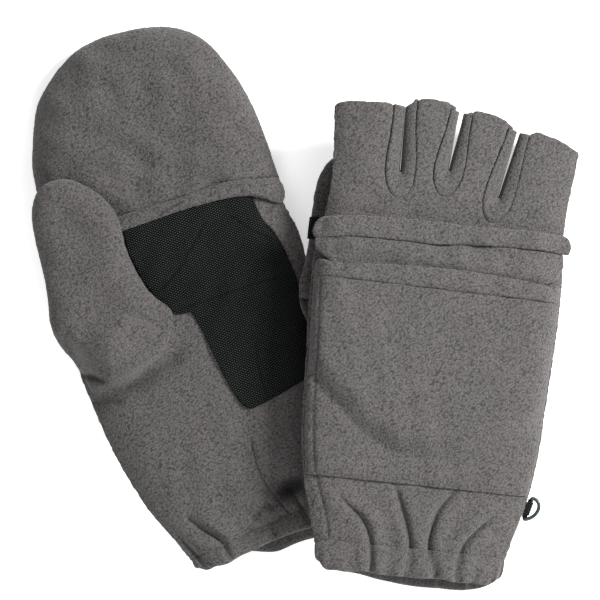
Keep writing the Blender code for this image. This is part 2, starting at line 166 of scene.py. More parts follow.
class Lay:
    """One mitten's place: its sides, how it turns and bends, and which way up it lies."""

    def __init__(self, name, base, turn, middle, bend, palm_up, tilt, thumb_lift, fingers, finger_scale):
        self.name = name
        self.base = base
        self.turn = math.radians(turn)
        self.middle = middle
        self.bend = math.radians(bend)
        self.palm_up = palm_up
        self.tilt = tilt
        self.thumb_lift = thumb_lift
        self.sides = HAND_SIDES + fingers
        self.finger_scale = finger_scale
        self.glove = name + "_glove"

    def settle(self, v):
        """How far a mitten that lies on its back sinks past the ends of its pocket."""
        if not self.palm_up:
            return 0.0 * v
        return 5.5 * np.clip((41 - v) / 29, 0, 1) + 3.8 * np.clip((v - 146) / 35, 0, 1)

    def place(self, u, v, h):
        """World points, in metres, of pattern points."""
        u, v, h = np.broadcast_arrays(np.asarray(u, float), v, h)
        across, along = u.copy(), v.copy()
        if self.bend:
            radius = 60 / self.bend
            turned = np.clip((130 - v) / radius, 0, self.bend)
            straight = np.maximum(70 - v, 0)
            across = radius * (1 - np.cos(turned)) + straight * np.sin(turned) + u * np.cos(turned)
            along = 130 - radius * np.sin(turned) - straight * np.cos(turned) + u * np.sin(turned)
            along = np.where(v > 130, v, along)
        across = across + self.middle
        x = self.base[0] + across * math.cos(self.turn) - along * math.sin(self.turn)
        y = self.base[1] + across * math.sin(self.turn) + along * math.cos(self.turn)
        if self.palm_up:
            z = h - self.settle(v)
        else:
            z = PATCH_OUT - h + self.tilt * (TILT_FOOT - u)
        pressed = 0.6 - 0.5 * (1 - np.exp((np.minimum(z, 0.6) - 0.6) / 0.5))
        return np.stack([x, y, np.where(z < 0.6, pressed, z)], -1) * MM

    def spot(self, u, v, h):
        return Vector(self.place(u, v, h))

    def edge_distance(self, u, v):
        left, right = between(self.sides, v)
        return np.maximum(np.minimum(u - left, right - u), 0)

    def back(self, u, v):
        """The back panel's outer layer: flat under a mitten that lies on it, else crowned."""
        distance = self.edge_distance(u, v)
        if self.palm_up:
            return BACK_OUT + 2.0 * crown(distance + 0.6, 7)
        return BACK_OUT + EDGE_FALL * crown(distance + 1.0, EDGE_ZONE)

    def palm(self, u, v):
        distance = self.edge_distance(u, v)
        if self.palm_up:
            return PALM_OUT - EDGE_FALL * crown(distance + 1.0, EDGE_ZONE)
        return PALM_OUT - 3.2 * crown(distance + 0.5, 7)


LEFT = Lay("left", (-21.4, -114.85), 14, -5.5, 11, True, 0.0, 2.4, CLOSED_FINGERS, 0.8)
RIGHT = Lay("right", (47.5, -124.35), -6, 0.0, 0, False, 0.25, 1.6, OPEN_FINGERS, 1.0)


# ---- Lines in the pattern ----


def curve_through(points, step=1.2, closed=False):
    """Evenly spaced points, about step apart, on a smooth curve through these ones."""
    knots = np.array(points, float)
    if closed:
        run = np.vstack([knots[-1], knots, knots[0], knots[1]])
    else:
        run = np.vstack([2 * knots[0] - knots[1], knots, 2 * knots[-1] - knots[-2]])
    fine = []
    for a, b, c, d in zip(run[:-3], run[1:-2], run[2:-1], run[3:]):
        t = np.linspace(0, 1, 24, endpoint=False)[:, None]
        fine.append(0.5 * (2 * b + (c - a) * t + (2 * a - 5 * b + 4 * c - d) * t**2
                           + (3 * b - a - 3 * c + d) * t**3))
    fine = np.vstack(fine + [run[-2][None]])
    return respaced(fine, step)


def respaced(points, step=1.2, count=None):
    """The same open run of points, evenly spaced: about step apart, or count of them."""
    points = np.array(points, float)
    reach = np.concatenate([[0], np.cumsum(np.hypot(*np.diff(points, axis=0).T))])
    count = count or max(2, int(round(reach[-1] / step)) + 1)
    even = np.linspace(0, reach[-1], count)
    return np.stack([np.interp(even, reach, column) for column in points.T], 1)


def left_of(directions):
    """Unit vectors that point to the left of these ones."""
    across = np.stack([-directions[:, 1], directions[:, 0]], 1)
    return across / np.maximum(np.linalg.norm(across, axis=1, keepdims=True), 1e-9)


class Line:
    """A run of points in u and v, with distances to it."""

    def __init__(self, points, closed=False):
        self.points = np.array(points, float)
        self.closed = closed
        self.tree = kdtree.KDTree(len(self.points))
        for i, (a, b) in enumerate(self.points):
            self.tree.insert((a, b, 0), i)
        self.tree.balance()

    def near(self, u, v):
        """The distance to the line, and on which side a point lies: 1 on its left, -1 on its right."""
        spots = np.stack([np.ravel(u), np.ravel(v)], 1)
        find = self.tree.find
        index = np.array([find((a, b, 0))[1] for a, b in spots], int)
        count = len(self.points)
        best = np.full(len(spots), 1e9)
        side = np.ones(len(spots))
        for step in (-1, 0):
            first, last = index + step, index + step + 1
            if self.closed:
                first, last = first % count, last % count
            else:
                first, last = np.clip(first, 0, count - 1), np.clip(last, 0, count - 1)
            start = self.points[first]
            run = self.points[last] - start
            gap = spots - start
            share = np.clip((gap * run).sum(1) / np.maximum((run * run).sum(1), 1e-12), 0, 1)
            away = gap - share[:, None] * run
            distance = np.hypot(*away.T)
            closer = distance < best
            turn = np.sign(run[:, 0] * gap[:, 1] - run[:, 1] * gap[:, 0])
            side = np.where(closer & (turn != 0), turn, side)
            best = np.minimum(best, distance)
        return best.reshape(np.shape(u)), side.reshape(np.shape(u))


def inside(points, loop):
    """Which points lie inside a closed loop."""
    x, y = points[:, 0][:, None], points[:, 1][:, None]
    x0, y0 = loop.T
    x1, y1 = np.roll(loop, -1, axis=0).T
    crosses = (y0 > y) != (y1 > y)
    at = x0 + (y - y0) * (x1 - x0) / np.where(y1 == y0, 1e-9, y1 - y0)
    return ((crosses & (x < at)).sum(1) % 2) == 1


# ---- Cloth ----


def groove(points, depth, width, seam=True, closed=False):
    """A sewn line that pulls the cloth in. seam also darkens it."""
    line = Line(curve_through(points, 0.9, closed) if len(points) < 60 else points, closed)
    line.depth, line.width, line.seam = depth, width, seam
    return line


def grid_points(loop, step):
    """A staggered grid over a loop's box."""
    low, high = loop.min(0), loop.max(0)
    rows = np.arange(low[1], high[1] + step, step * 0.866)
    spots = []
    for i, v in enumerate(rows):
        us = np.arange(low[0] + (i % 2) * step / 2, high[0] + step, step)
        spots.append(np.stack([us, np.full(len(us), v)], 1))
    return np.vstack(spots)


def normals_of(points, faces):
    """Area-weighted normals of the points."""
    a, b, c = (points[faces[:, k]] for k in range(3))
    across = np.cross(b - a, c - a)
    total = np.zeros_like(points)
    for k in range(3):
        np.add.at(total, faces[:, k], across)
    return total / np.maximum(np.linalg.norm(total, axis=1, keepdims=True), 1e-12)


RINGS = (0.12, 0.35, 0.75, 1.4, 2.3, 3.4)


def fill_points(loops, lines, step):
    """Points inside the loops: rings near the edges, rows along the lines, and a grid elsewhere."""
    outer = loops[0]
    edges = [Line(loop, True) for loop in loops]
    spots, kept_off = [], RINGS[-1] + 0.5 * step
    for loop in loops:
        across = left_of(np.roll(loop, -1, axis=0) - np.roll(loop, 1, axis=0))
        for distance in RINGS:
            for side in (-1, 1):
                spots.append((loop + side * distance * across, distance * 0.93))
    for line in lines:
        across = left_of(np.gradient(line.points, axis=0))
        for distance in (0, 0.45, -0.45, 1.0, -1.0):
            spots.append((line.points + distance * across, 0.3))
    grid = grid_points(outer, step)
    for line in lines:
        grid = grid[line.near(*grid.T)[0] > 1.0 + 0.4 * step]
    spots.append((grid, kept_off))
    found = []
    for points, least in spots:
        held = inside(points, outer)
        for loop in loops[1:]:
            held &= ~inside(points, loop)
        points = points[held]
        clear = np.ones(len(points), bool)
        for edge in edges:
            clear &= edge.near(*points.T)[0] >= least
        found.append(points[clear])
    found = np.vstack(found)
    _, first = np.unique(np.round(found / 0.22).astype(int), axis=0, return_index=True)
    return found[np.sort(first)]


def triangles(loops, lines, step):
    """Points and triangles that fill the loops."""
    points = np.vstack([*loops, fill_points(loops, lines, step)])
    edges, start = [], 0
    for loop in loops:
        count = len(loop)
        edges += [(start + i, start + (i + 1) % count) for i in range(count)]
        start += count
    made = geometry.delaunay_2d_cdt([Vector(p) for p in points], edges, [], 0, 1e-6, False)
    spots = np.array([tuple(p) for p in made[0]])
    faces = np.array(made[2])
    centres = spots[faces].mean(1)
    held = inside(centres, loops[0])
    for loop in loops[1:]:
        held &= ~inside(centres, loop)
    faces = faces[held]
    a, b, c = (spots[faces[:, k]] for k in range(3))
    area = (b[:, 0] - a[:, 0]) * (c[:, 1] - a[:, 1]) - (b[:, 1] - a[:, 1]) * (c[:, 0] - a[:, 0])
    faces = np.where((area < 0)[:, None], faces[:, ::-1], faces)
    used, index = np.unique(faces, return_inverse=True)
    return spots[used], index.reshape(-1, 3)


def grid_quads(rows, columns, rows_meet=False, columns_meet=True, base=0):
    """The faces of a grid of points [row][column], which may close on itself either way."""
    index = np.arange(rows * columns).reshape(rows, columns) + base
    low, high = (index, np.roll(index, -1, 0)) if rows_meet else (index[:-1], index[1:])
    corners = [low, np.roll(low, -1, 1), np.roll(high, -1, 1), high]
    if not columns_meet:
        corners = [c[:, :-1] for c in corners]
    return np.stack([c.ravel() for c in corners], 1)


def rim_of(faces):
    """The points on edges that belong to one triangle."""
    ends = np.concatenate([faces[:, [0, 1]], faces[:, [1, 2]], faces[:, [2, 0]]])
    same = np.sort(ends, axis=1)
    _, index, count = np.unique(same, axis=0, return_inverse=True, return_counts=True)
    lone = ends[count[index.reshape(-1)] == 1]
    return np.unique(lone), lone


def mesh_object(name, points, faces, finish, seam=None):
    mesh = bpy.data.meshes.new(name)
    mesh.from_pydata(np.asarray(points).tolist(), [], list(map(tuple, faces)))
    mesh.shade_smooth()
    # The seam attribute: darker along sewn seams, and painted shade in folds, creases and hollows.
    if seam is not None:
        layer = mesh.attributes.new("seam", "FLOAT", "POINT")
        layer.data.foreach_set("value", seam.astype(np.float32))
    mesh.materials.append(finish)
    made = bpy.data.objects.new(name, mesh)
    bpy.context.collection.objects.link(made)
    return made


def settle_piece(made, body, slot, nodes):
    """Rides on its body and stands for its CAD nodes. slot is not used."""
    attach(made, body)
    if nodes:
        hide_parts(*nodes)
    return made


def cloth(name, lay, loops, height, thick, facing, finish, lines=(), step=1.35, fray=0.12, soft=0.25,
          rim=None, seed=1, shade=None):
    """A piece of cloth with rounded edges. height gives its outer face, which looks towards the palm
    where facing is 1 and towards the back where it is -1. lines pull it in where it is sewn."""
    spots, faces = triangles(loops, lines, step)
    u, v = spots.T
    edge = np.full(len(u), 1e9)
    for loop in loops:
        edge = np.minimum(edge, Line(loop, True).near(u, v)[0])
    rim_points, _ = rim_of(faces)
    edge[rim_points] = 0
    # seam starts as the painted shade that shade gives in folds, creases and hollows; sewn lines darken it
    # below.
    seam = np.zeros(len(u)) if shade is None else shade(u, v)
    bulge = lumps(u, v, soft, 17, seed) + lumps(u, v, 0.07, 3.2, seed + 50)
    for line in lines:
        if not hasattr(line, "depth"):
            continue
        near = line.near(u, v)[0]
        bulge -= line.depth * np.exp(-((near / line.width) ** 2))
        if line.seam:
            seam = np.maximum(seam, np.exp(-((near / 0.55) ** 2)))
    nominal = lay.place(u, v, height(u, v) + facing * bulge)
    outward = facing * (1 if lay.palm_up else -1)
    normal = outward * normals_of(nominal, faces)
    round_in = thick / 2 if rim is None else rim
    share = np.sqrt(1 - (1 - np.clip(edge / round_in, 0, 1)) ** 2)
    half = (thick / 2 * MM * (1 - share))[:, None]
    whole = (thick / 2 * MM * (1 + share))[:, None]
    random = np.random.default_rng(seed)
    rough = np.clip(1 - edge / 0.8, 0, 1) * fray * MM
    shake = random.normal(0, 1, (len(u), 3)) * rough[:, None]
    outer = nominal - normal * half + shake
    inner = nominal - normal * whole + shake
    count = len(u)
    on_rim = np.zeros(count, bool)
    on_rim[rim_points] = True
    index = np.arange(count) + count
    index[on_rim] = np.arange(count)[on_rim]
    under = index[faces]
    top, bottom = (faces, under[:, ::-1]) if outward > 0 else (faces[:, ::-1], under)
    points = np.vstack([outer, inner])
    every = np.vstack([top, bottom])
    used, every = np.unique(every, return_inverse=True)
    # The inner face takes a third of the painted shade and seam darkening.
    seam_and_shade_values = np.concatenate([seam, seam * 0.3])[used]
    made = mesh_object(name, points[used], every.reshape(-1, 3), finish, seam_and_shade_values)
    loop = loops[0]
    ahead = np.roll(loop, -1, axis=0)
    area = abs((loop[:, 0] * ahead[:, 1] - ahead[:, 0] * loop[:, 1]).sum()) / 2
    made["flat"] = [*(np.ptp(loop, axis=0) * MM), area * MM * MM]
    return made


# ---- Materials ----


class Nodes:
    """A material's nodes, made and joined in one call each."""

    def __init__(self, name, roughness, **sockets):
        self.material = bpy.data.materials.new(name)
        self.material.use_nodes = True
        self.tree = self.material.node_tree
        self.shader = self.tree.nodes["Principled BSDF"]
        self.shader.inputs["Roughness"].default_value = roughness
        for socket, value in sockets.items():
            self.shader.inputs[socket.replace("_", " ")].default_value = value
        self.spot = self.add("ShaderNodeTexCoord").outputs["Object"]

    def add(self, kind, inputs=(), **settings):
        node = self.tree.nodes.new(kind)
        for key, value in settings.items():
            setattr(node, key, value)
        for socket, value in dict(inputs).items():
            if isinstance(value, bpy.types.NodeSocket):
                self.tree.links.new(value, node.inputs[socket])
            else:
                node.inputs[socket].default_value = value
        return node

    def math(self, operation, a, b=0.5, c=0.0):
        return self.add("ShaderNodeMath", {0: a, 1: b, 2: c}, operation=operation).outputs[0]

    def noise(self, scale, detail=2.0, roughness=0.5, vector=None, distortion=0.0):
        inputs = {"Vector": vector or self.spot, "Scale": scale, "Detail": detail,
                  "Roughness": roughness, "Distortion": distortion}
        return self.add("ShaderNodeTexNoise", inputs).outputs["Fac"]

    def wave(self, scale, axis, distortion, vector=None):
        inputs = {"Vector": vector or self.spot, "Scale": scale, "Distortion": distortion}
        if vector:
            inputs.update({"Detail": 0.0, "Detail Scale": 0.3})
        return self.add("ShaderNodeTexWave", inputs, bands_direction=axis).outputs["Fac"]

    def drawn_out(self, turn, by):
        """Places to sample a pattern at, so that it runs long in the direction at this turn."""
        return self.add("ShaderNodeMapping", {"Vector": self.spot, "Rotation": (0, 0, turn),
                                              "Scale": (by, 0.85, 1)}, vector_type="TEXTURE").outputs[0]

    def darker_at_seams_and_shade(self, colour, share, dark):
        """The colour, darker where the mesh's seam attribute says so: along sewn seams, and with painted
        shade in folds, creases and hollows.
        """
        seam = self.add("ShaderNodeAttribute", attribute_name="seam").outputs["Fac"]
        return self.mix(self.math("MULTIPLY", seam, share), colour, dark)

    def ramp(self, factor, *stops):
        node = self.add("ShaderNodeValToRGB", {"Fac": factor})
        points = node.color_ramp.elements
        while len(points) < len(stops):
            points.new(0.5)
        for point, (place, colour) in zip(points, stops):
            point.position = place
            point.color = (*colour, 1)
        return node.outputs["Color"]

    def mix(self, factor, a, b, blend="MIX"):
        node = self.add("ShaderNodeMix", {"Factor": factor}, data_type="RGBA", blend_type=blend)
        for socket, value in ((node.inputs[6], a), (node.inputs[7], b)):
            if isinstance(value, bpy.types.NodeSocket):
                self.tree.links.new(value, socket)
            else:
                socket.default_value = (*value, 1)
        return node.outputs[2]

    def finish(self, colour, height=None, strength=0.5, distance=0.0005):
        if isinstance(colour, bpy.types.NodeSocket):
            self.tree.links.new(colour, self.shader.inputs["Base Color"])
        else:
            self.shader.inputs["Base Color"].default_value = (*colour, 1)
        if height is not None:
            bump = self.add("ShaderNodeBump", {"Height": height, "Strength": strength,
                                               "Distance": distance})
            self.tree.links.new(bump.outputs["Normal"], self.shader.inputs["Normal"])
        return self.material


def times(colour, *factors):
    """This colour, brighter or darker by each factor."""
    return [tuple(factor * c for c in colour) for factor in factors]


def fleece_material(name, grey):
    """Short pebbled pile, clumped about a millimetre across, with small darker pits between. Painted shade
    in folds and hollows.
    """
    nodes = Nodes(name, 1.0, Specular_IOR_Level=0.1, Sheen_Weight=0.22, Sheen_Roughness=0.45,
                  Sheen_Tint=(0.95, 0.93, 0.92, 1))
    rows = nodes.drawn_out(0.6, 1.4)
    swirl = nodes.add("ShaderNodeTexNoise", {"Vector": rows, "Scale": 500.0, "Detail": 1.0})
    bent = nodes.add("ShaderNodeVectorMath", {0: swirl.outputs["Color"], 1: (0.0010,) * 3},
                     operation="MULTIPLY").outputs[0]
    place = nodes.add("ShaderNodeVectorMath", {0: rows, 1: bent}, operation="ADD").outputs[0]
    cells = nodes.add("ShaderNodeTexVoronoi", {"Vector": place, "Scale": 1120.0, "Smoothness": 0.4,
                                               "Randomness": 1.0}, feature="SMOOTH_F1")
    clump = nodes.math("SUBTRACT", 1.0, cells.outputs["Distance"])
    fine = nodes.noise(2300.0, 2.0, 0.6, rows)
    broad = nodes.noise(760.0, 2.0, 0.6)
    pile = nodes.math("MULTIPLY_ADD", clump, 0.55, nodes.math("MULTIPLY", fine, 0.5))
    pile = nodes.math("MULTIPLY_ADD", broad, 0.35, pile)
    dark, light = times(grey, 0.42, 1.55)
    colour = nodes.ramp(pile, (0.45, dark), (0.7, grey), (0.95, light))
    patchy = nodes.ramp(nodes.noise(28.0, 3.0, 0.55), (0.3, (0.94, 0.95, 0.96)), (0.7, (1.04, 1.03, 1.03)))
    # Painted shade from the seam attribute: dark along the bottoms of the cuff's folds, in the thumb's
    # creases and in the gathered hollow by the cuff; also darker along sewn seams.
    colour = nodes.darker_at_seams_and_shade(nodes.mix(1.0, colour, patchy, "MULTIPLY"), 0.62, *times(grey, 0.15))
    return nodes.finish(colour, pile, 0.85, 0.0008)


def nylon_material(name, grey):
    """A tight plain weave of staggered dots, about a millimetre apart."""
    nodes = Nodes(name, 0.6, Specular_IOR_Level=0.05)
    turned = nodes.add("ShaderNodeMapping", {"Vector": nodes.drawn_out(0.2, 1.45),
                                             "Rotation": (0, 0, math.pi / 4)}).outputs[0]
    warp, weft = (nodes.wave(310.0, axis, 0.25, turned) for axis in "XY")
    dots = nodes.math("ADD", nodes.math("MULTIPLY", warp, weft),
                      nodes.math("MULTIPLY", nodes.noise(900.0), 0.35))
    dark, light = times(grey, 0.3, 10.0)
    colour = nodes.ramp(dots, (0.25, dark), (0.58, grey), (1.0, light))
    sheen = nodes.ramp(nodes.noise(14.0, 2.0), (0.35, (0.8,) * 3), (0.65, (1.15,) * 3))
    colour = nodes.darker_at_seams_and_shade(nodes.mix(1.0, colour, sheen, "MULTIPLY"), 0.55, dark)
    return nodes.finish(colour, dots, 0.6, 0.0003)


def knit_material(name, colour):
    """Ribbed elastic webbing."""
    nodes = Nodes(name, 0.8)
    ribs = nodes.wave(380.0, "Z", 0.6)
    both = nodes.math("MULTIPLY_ADD", nodes.noise(2200.0, 2.0), 0.4, ribs)
    dark, light = times(colour, 0.55, 1.15)
    return nodes.finish(nodes.ramp(both, (0.2, dark), (0.9, light)), both, 0.5, 0.0003)


def enamel_material(name, colour):
    """Painted wire, a little chipped and dulled."""
    nodes = Nodes(name, 0.38, Metallic=0.2, Coat_Weight=0.3)
    worn = nodes.noise(900.0, 4.0, 0.7)
    rubbed, bare = times(colour, 1.6, 3.2)
    tint = nodes.ramp(worn, (0.4, colour), (0.66, rubbed), (0.8, bare))
    rough = nodes.ramp(nodes.noise(500.0), (0.3, (0.3,) * 3), (0.7, (0.55,) * 3))
    nodes.tree.links.new(rough, nodes.shader.inputs["Roughness"])
    return nodes.finish(tint, worn, 0.25, 0.0001)


def thread_material(name, colour):
    """Twisted thread."""
    nodes = Nodes(name, 0.8, Specular_IOR_Level=0.15)
    twist = nodes.wave(1400.0, "DIAGONAL", 2.0)
    dark, light = times(colour, 0.6, 1.2)
    return nodes.finish(nodes.ramp(twist, (0.2, dark), (0.9, light)), twist, 0.4, 0.0001)


def floor_material():
    nodes = Nodes("floor", 0.9, Specular_IOR_Level=0.1, Emission_Color=(1, 1, 1, 1), Emission_Strength=0.5)
    return nodes.finish(nodes.ramp(nodes.noise(6.0, 2.0), (0.3, (0.93,) * 3), (0.7, (0.94,) * 3)))


FLEECE_MAT = fleece_material("fleece", (0.078, 0.0735, 0.0715))
NYLON_MAT = nylon_material("nylon", (0.0042, 0.0050, 0.0046))
ELASTIC_MAT = knit_material("elastic", (0.26, 0.26, 0.26))
RING_MAT = enamel_material("ring", (0.009, 0.026, 0.020))
THREAD_MAT = thread_material("thread", (0.045, 0.042, 0.04))
BLACK_THREAD_MAT = thread_material("black_thread", (0.003, 0.0035, 0.0035))


# ---- Shapes of one mitten ----


def sewn(lay, part, body, loops, height, thick=FLEECE, facing=-1, finish=FLEECE_MAT, slot="fleece",
         node=None, lies=None, **details):
    """A piece of cloth on its body, standing for its CAD node. lies is not used."""
    made = cloth(f"{lay.name}_{part}_cloth", lay, loops, height, thick, facing, finish, **details)
    settle_piece(made, f"{lay.name}_{body}", slot, [f"{lay.name}_{node or part}"])
    return made


STITCH_PITCH, STITCH_LONG, STITCH_STEP = 2.4, 1.7, 0.3
THREAD_RADIUS, THREAD_LIFT = 0.2, 0.05


def stitches(lay, part, body, path, height, facing, finish=THREAD_MAT, slot="fleece"):
    """A row of short arched stitches along a path in u and v, lying on a surface."""
    outward = facing * (1 if lay.palm_up else -1)
    u, v = respaced(path, STITCH_STEP).T
    line = lay.place(u, v, height(u, v) + facing * THREAD_LIFT)
    stride, reach = int(STITCH_PITCH / STITCH_STEP), int(STITCH_LONG / STITCH_STEP)
    points, faces = [], []
    for start in range(0, len(line) - reach, stride):
        piece = line[start:start + reach + 1:max(reach // 4, 1)]
        along = piece[-1] - piece[0]
        along /= np.linalg.norm(along)
        side = np.cross(along, (0, 0, 1))
        side /= max(np.linalg.norm(side), 1e-9)
        up = np.cross(side, along)
        base, last = len(points), len(piece) - 1
        for i, spot in enumerate(piece):
            arch = 1 - (2 * i / last - 1) ** 2
            centre = spot + outward * np.sign(up[2]) * up * (arch * 0.16 - 0.12) * MM
            size = THREAD_RADIUS * (0.45 + 0.55 * math.sqrt(max(arch, 0))) * MM
            points += [centre + size * (math.cos(a) * side + math.sin(a) * up)
                       for a in np.arange(6) * math.pi / 3]
        faces += [(a, b, c, d) for a, b, c, d in grid_quads(last + 1, 6, base=base)[:, (0, 3, 2, 1)]]
        faces += [tuple(base + k for k in range(6)), tuple(base + 6 * last + k for k in range(5, -1, -1))]
    made = mesh_object(f"{lay.name}_{part}_stitches", points, faces, finish)
    return settle_piece(made, f"{lay.name}_{body}", slot, [])


def offset(surface, by):
    return lambda u, v: surface(u, v) + by


def side_loop(lay, low, high, inset=0.0, step=1.3):
    """The outline of the hand from v low to v high, closed, anticlockwise."""
    vs = np.arange(low, high + 0.01, step)
    left, right = between(lay.sides, vs)
    rows = [*zip(right - inset, vs), *zip(left[::-1] + inset, vs[::-1])]
    return rows


def closed_loop(points, step=1.3):
    """A closed loop of evenly spaced points, corners kept."""
    run = respaced(np.vstack([points, points[0]]), step)[:-1]
    ahead = np.roll(run, -1, axis=0)
    if (run[:, 0] * ahead[:, 1] - ahead[:, 0] * run[:, 1]).sum() < 0:
        run = run[::-1]
    return run


def slit_frame(lay, slit):
    _, bottom_u, bottom_v, top_u, _ = slit
    start = np.array((bottom_u * lay.finger_scale, bottom_v), float)
    end = np.array((top_u * lay.finger_scale, 225.0))
    along = (end - start) / np.linalg.norm(end - start)
    return start, along, np.array((along[1], -along[0]))


def finger_tops(lay, u):
    """Where the fingers end, stepped at each slit."""
    u = np.asarray(u, float) / lay.finger_scale
    tops = [np.interp(u, *np.array(stub).T) for stub in STUB_ENDS]
    return np.select([u < -24.3, u < 3.4, u < 32.8], tops[:3], tops[3])


def slit_edge(lay, slit, half_top, half, depth):
    """The U that a strip between two fingers makes: from its right top round the bottom to its left top."""
    start, along, across = slit_frame(lay, slit)
    reach = (225 - start[1]) / along[1]
    turns = np.linspace(0, math.pi, 19)
    bottom = [start + half * math.cos(a) * across - depth * math.sin(a) * along for a in turns]
    arm = np.linspace(0, 1, 12)[1:]
    swell = half_top + (half - half_top) * (1 - ramp(arm, 0, 0.7))
    right = [start + w * across + s * reach * along for w, s in zip(swell, arm)]
    left = [start - w * across + s * reach * along for w, s in zip(swell, arm)]
    return np.array([*right[::-1], *bottom, *left])


def finger_outline(lay, low, half_top, half, depth, spread=0.0):
    """The outline of a hand panel, cut out round the strips between the fingers."""
    vs = np.arange(low, 216, 1.3)
    left, right = between(lay.sides, vs)
    left, right = left - spread, right + spread
    cuts = []
    for slit in SLITS:
        edge = slit_edge(lay, slit, half_top, half, depth)
        cuts.append(edge[edge[:, 1] < finger_tops(lay, edge[:, 0]) - 0.9])
    loop = [p for p in zip(right, vs) if p[1] < finger_tops(lay, p[0]) - 2.4]
    start = right[-1] - 0.3
    for cut in [*cuts[::-1], None]:
        end = left[-1] + 0.3 if cut is None else cut[0][0]
        across = np.linspace(start, end, 26)
        corner = np.abs(np.linspace(-1, 1, 26)) ** 9
        loop += list(zip(across, finger_tops(lay, across) - 0.9 * corner))
        if cut is not None:
            loop += [tuple(p) for p in cut]
            start = cut[-1][0]
    loop += [p for p in zip(left[::-1], vs[::-1]) if p[1] < finger_tops(lay, p[0]) - 2.4]
    return closed_loop(loop, 1.15)


# Folds of the gathered cuff: u at v 44, 33, 22, 12 and -2, with how deep each runs.
BACK_FOLDS = (((-40, 44), (-36, 33), (-24, 23), (-19, 12), (-18, 1), (-18.4, -8)),
              ((-13, 46), (-9, 37), (-4.5, 26), (-1, 15), (-0.8, 5), (-2, -8)),
              ((21, 46), (16, 38), (10.5, 29), (8, 15), (11.5, 6), (14.5, -8)),
              ((44, 38), (36.5, 30), (26, 18), (23, 10), (22.4, 2), (24, -8)))
BACK_FOLD_TOPS = (34, 42, 43, 33)
PALM_FOLDS = (((-41, 33), (-35.5, 24), (-30, 16), (-28.5, 13)),
              ((-12, 24), (-8, 19), (-5, 13), (-4, 5), (-5, -8)),
              ((12, 34), (12, 26), (12, 18), (13, 8), (13, -8)),
               ((36, 36), (30, 26), (27, 14), (28, 4), (27, -8)),
              ((-48, 29), (-46.7, 27), (-44, 18), (-41, 10), (-37.3, 4), (-36, -8)))
PALM_FOLD_TOPS = (27, 14, 24, 30, 27)


# How far from a fold's bottom the cloth is fullest, and how wide that fullness is.
FOLD_AWAY, FOLD_WIDE = 3.8, 3.4


class Gathers:
    """How the cloth puffs and folds towards the cuff. Each fold is sharp, and fuller on one side."""

    def __init__(self, folds, tops, full_sides, depth, puff):
        self.folds = [Line(curve_through(f, 1.0)) for f in folds]
        self.tops = tops
        self.full_sides = full_sides
        self.depth = depth
        self.puff = puff

    def bulge(self, u, v):
        total = self.puff * ramp(-v, -43, -22) * np.ones_like(u)
        for line, top, full in zip(self.folds, self.tops, self.full_sides):
            near, side = line.near(u, v)
            fade = ramp(-v, -top - 3, -top + 10) * self.depth
            share = np.where(side == full, 1.0, 0.55)
            swell = np.exp(-(((near - FOLD_AWAY) / FOLD_WIDE) ** 2))
            swell -= np.exp(-((FOLD_AWAY / FOLD_WIDE) ** 2)) * np.exp(-near)
            total = total + fade * (0.5 * share * swell - 0.8 * np.exp(-((near / 1.25) ** 2)))
        return total

    def shade(self, u, v):
        """Painted shade along the bottom of each fold."""
        dark = np.zeros_like(u)
        for line, top in zip(self.folds, self.tops):
            fade = ramp(-v, -top - 1, -top + 9)
            dark = np.maximum(dark, 0.9 * fade * np.exp(-((line.near(u, v)[0] / 0.5) ** 2)))
        return dark


BACK_GATHERS = Gathers(BACK_FOLDS, BACK_FOLD_TOPS, (1, -1, 1, -1), 2.6, 1.5)
PALM_GATHERS = Gathers(PALM_FOLDS, PALM_FOLD_TOPS, (1, -1, 1, -1, 1), 2.2, 1.2)


def seam_dip(v):
    """Where the cuff's casing is sewn on, the cloth is pulled in."""
    return -0.5 * np.exp(-(((v - CUFF_SEAM) / 1.8) ** 2))


def tucked_in(v):
    """How far a panel's end sinks where the casing is sewn over it."""
    return 1.9 * ramp(-v, -CUFF_SEAM, -CUFF_SEAM + 1.8)


def finger_round(lay, u, v, amount):
    """Each finger is a little fuller along its middle."""
    total = np.zeros_like(u)
    for slit in SLITS:
        start, along, across = slit_frame(lay, slit)
        gap = (u - start[0]) * across[0] + (v - start[1]) * across[1]
        total += np.exp(-((gap / 6.0) ** 2)) * ramp(v, start[1] - 15, start[1] + 8)
    return -amount * total


def back_surface(lay):
    def height(u, v):
        bulge = BACK_GATHERS.bulge(u, v) * (1.0 if not lay.palm_up else 0.35)
        bulge = bulge + seam_dip(v)
        bulge = bulge + finger_round(lay, u, v, 2.1 if not lay.palm_up else 0.4)
        return lay.back(u, v) - bulge + tucked_in(v)
    return height


def palm_surface(lay):
    def height(u, v):
        bulge = PALM_GATHERS.bulge(u, v) * (1.0 if lay.palm_up else 0.4) + seam_dip(v)
        bulge = bulge + finger_round(lay, u, v, 0.5)
        if lay.palm_up:
            bulge = bulge + creases(u, v)
        return lay.palm(u, v) + bulge - tucked_in(v)
    return height


VALLEY = Line(curve_through(((-58, 93.2), (-47, 94.3), (-32, 96), (-16, 100), (-7, 104))))
RIDGE = Line(curve_through(((-60, 99.5), (-49, 99.8), (-34, 102.5), (-20, 107), (-12, 111))))
NICKS = (Line(curve_through(((-60, 107), (-55, 105), (-49, 101.4)))),
         Line(curve_through(((-60, 95), (-56, 94), (-45.5, 91)))),
         Line(curve_through(((-10.4, 17.5), (-5, 19.6), (-0.3, 19.8)))),
         Line(curve_through(((-38.5, 30), (-34, 23), (-29, 16.2)))))


def gathered_spot(u, v):
    """The puckered hollow where the palm's seam meets the cuff."""
    return np.hypot((u - 11.5) / 9, (v - 23.0) / 5.2)


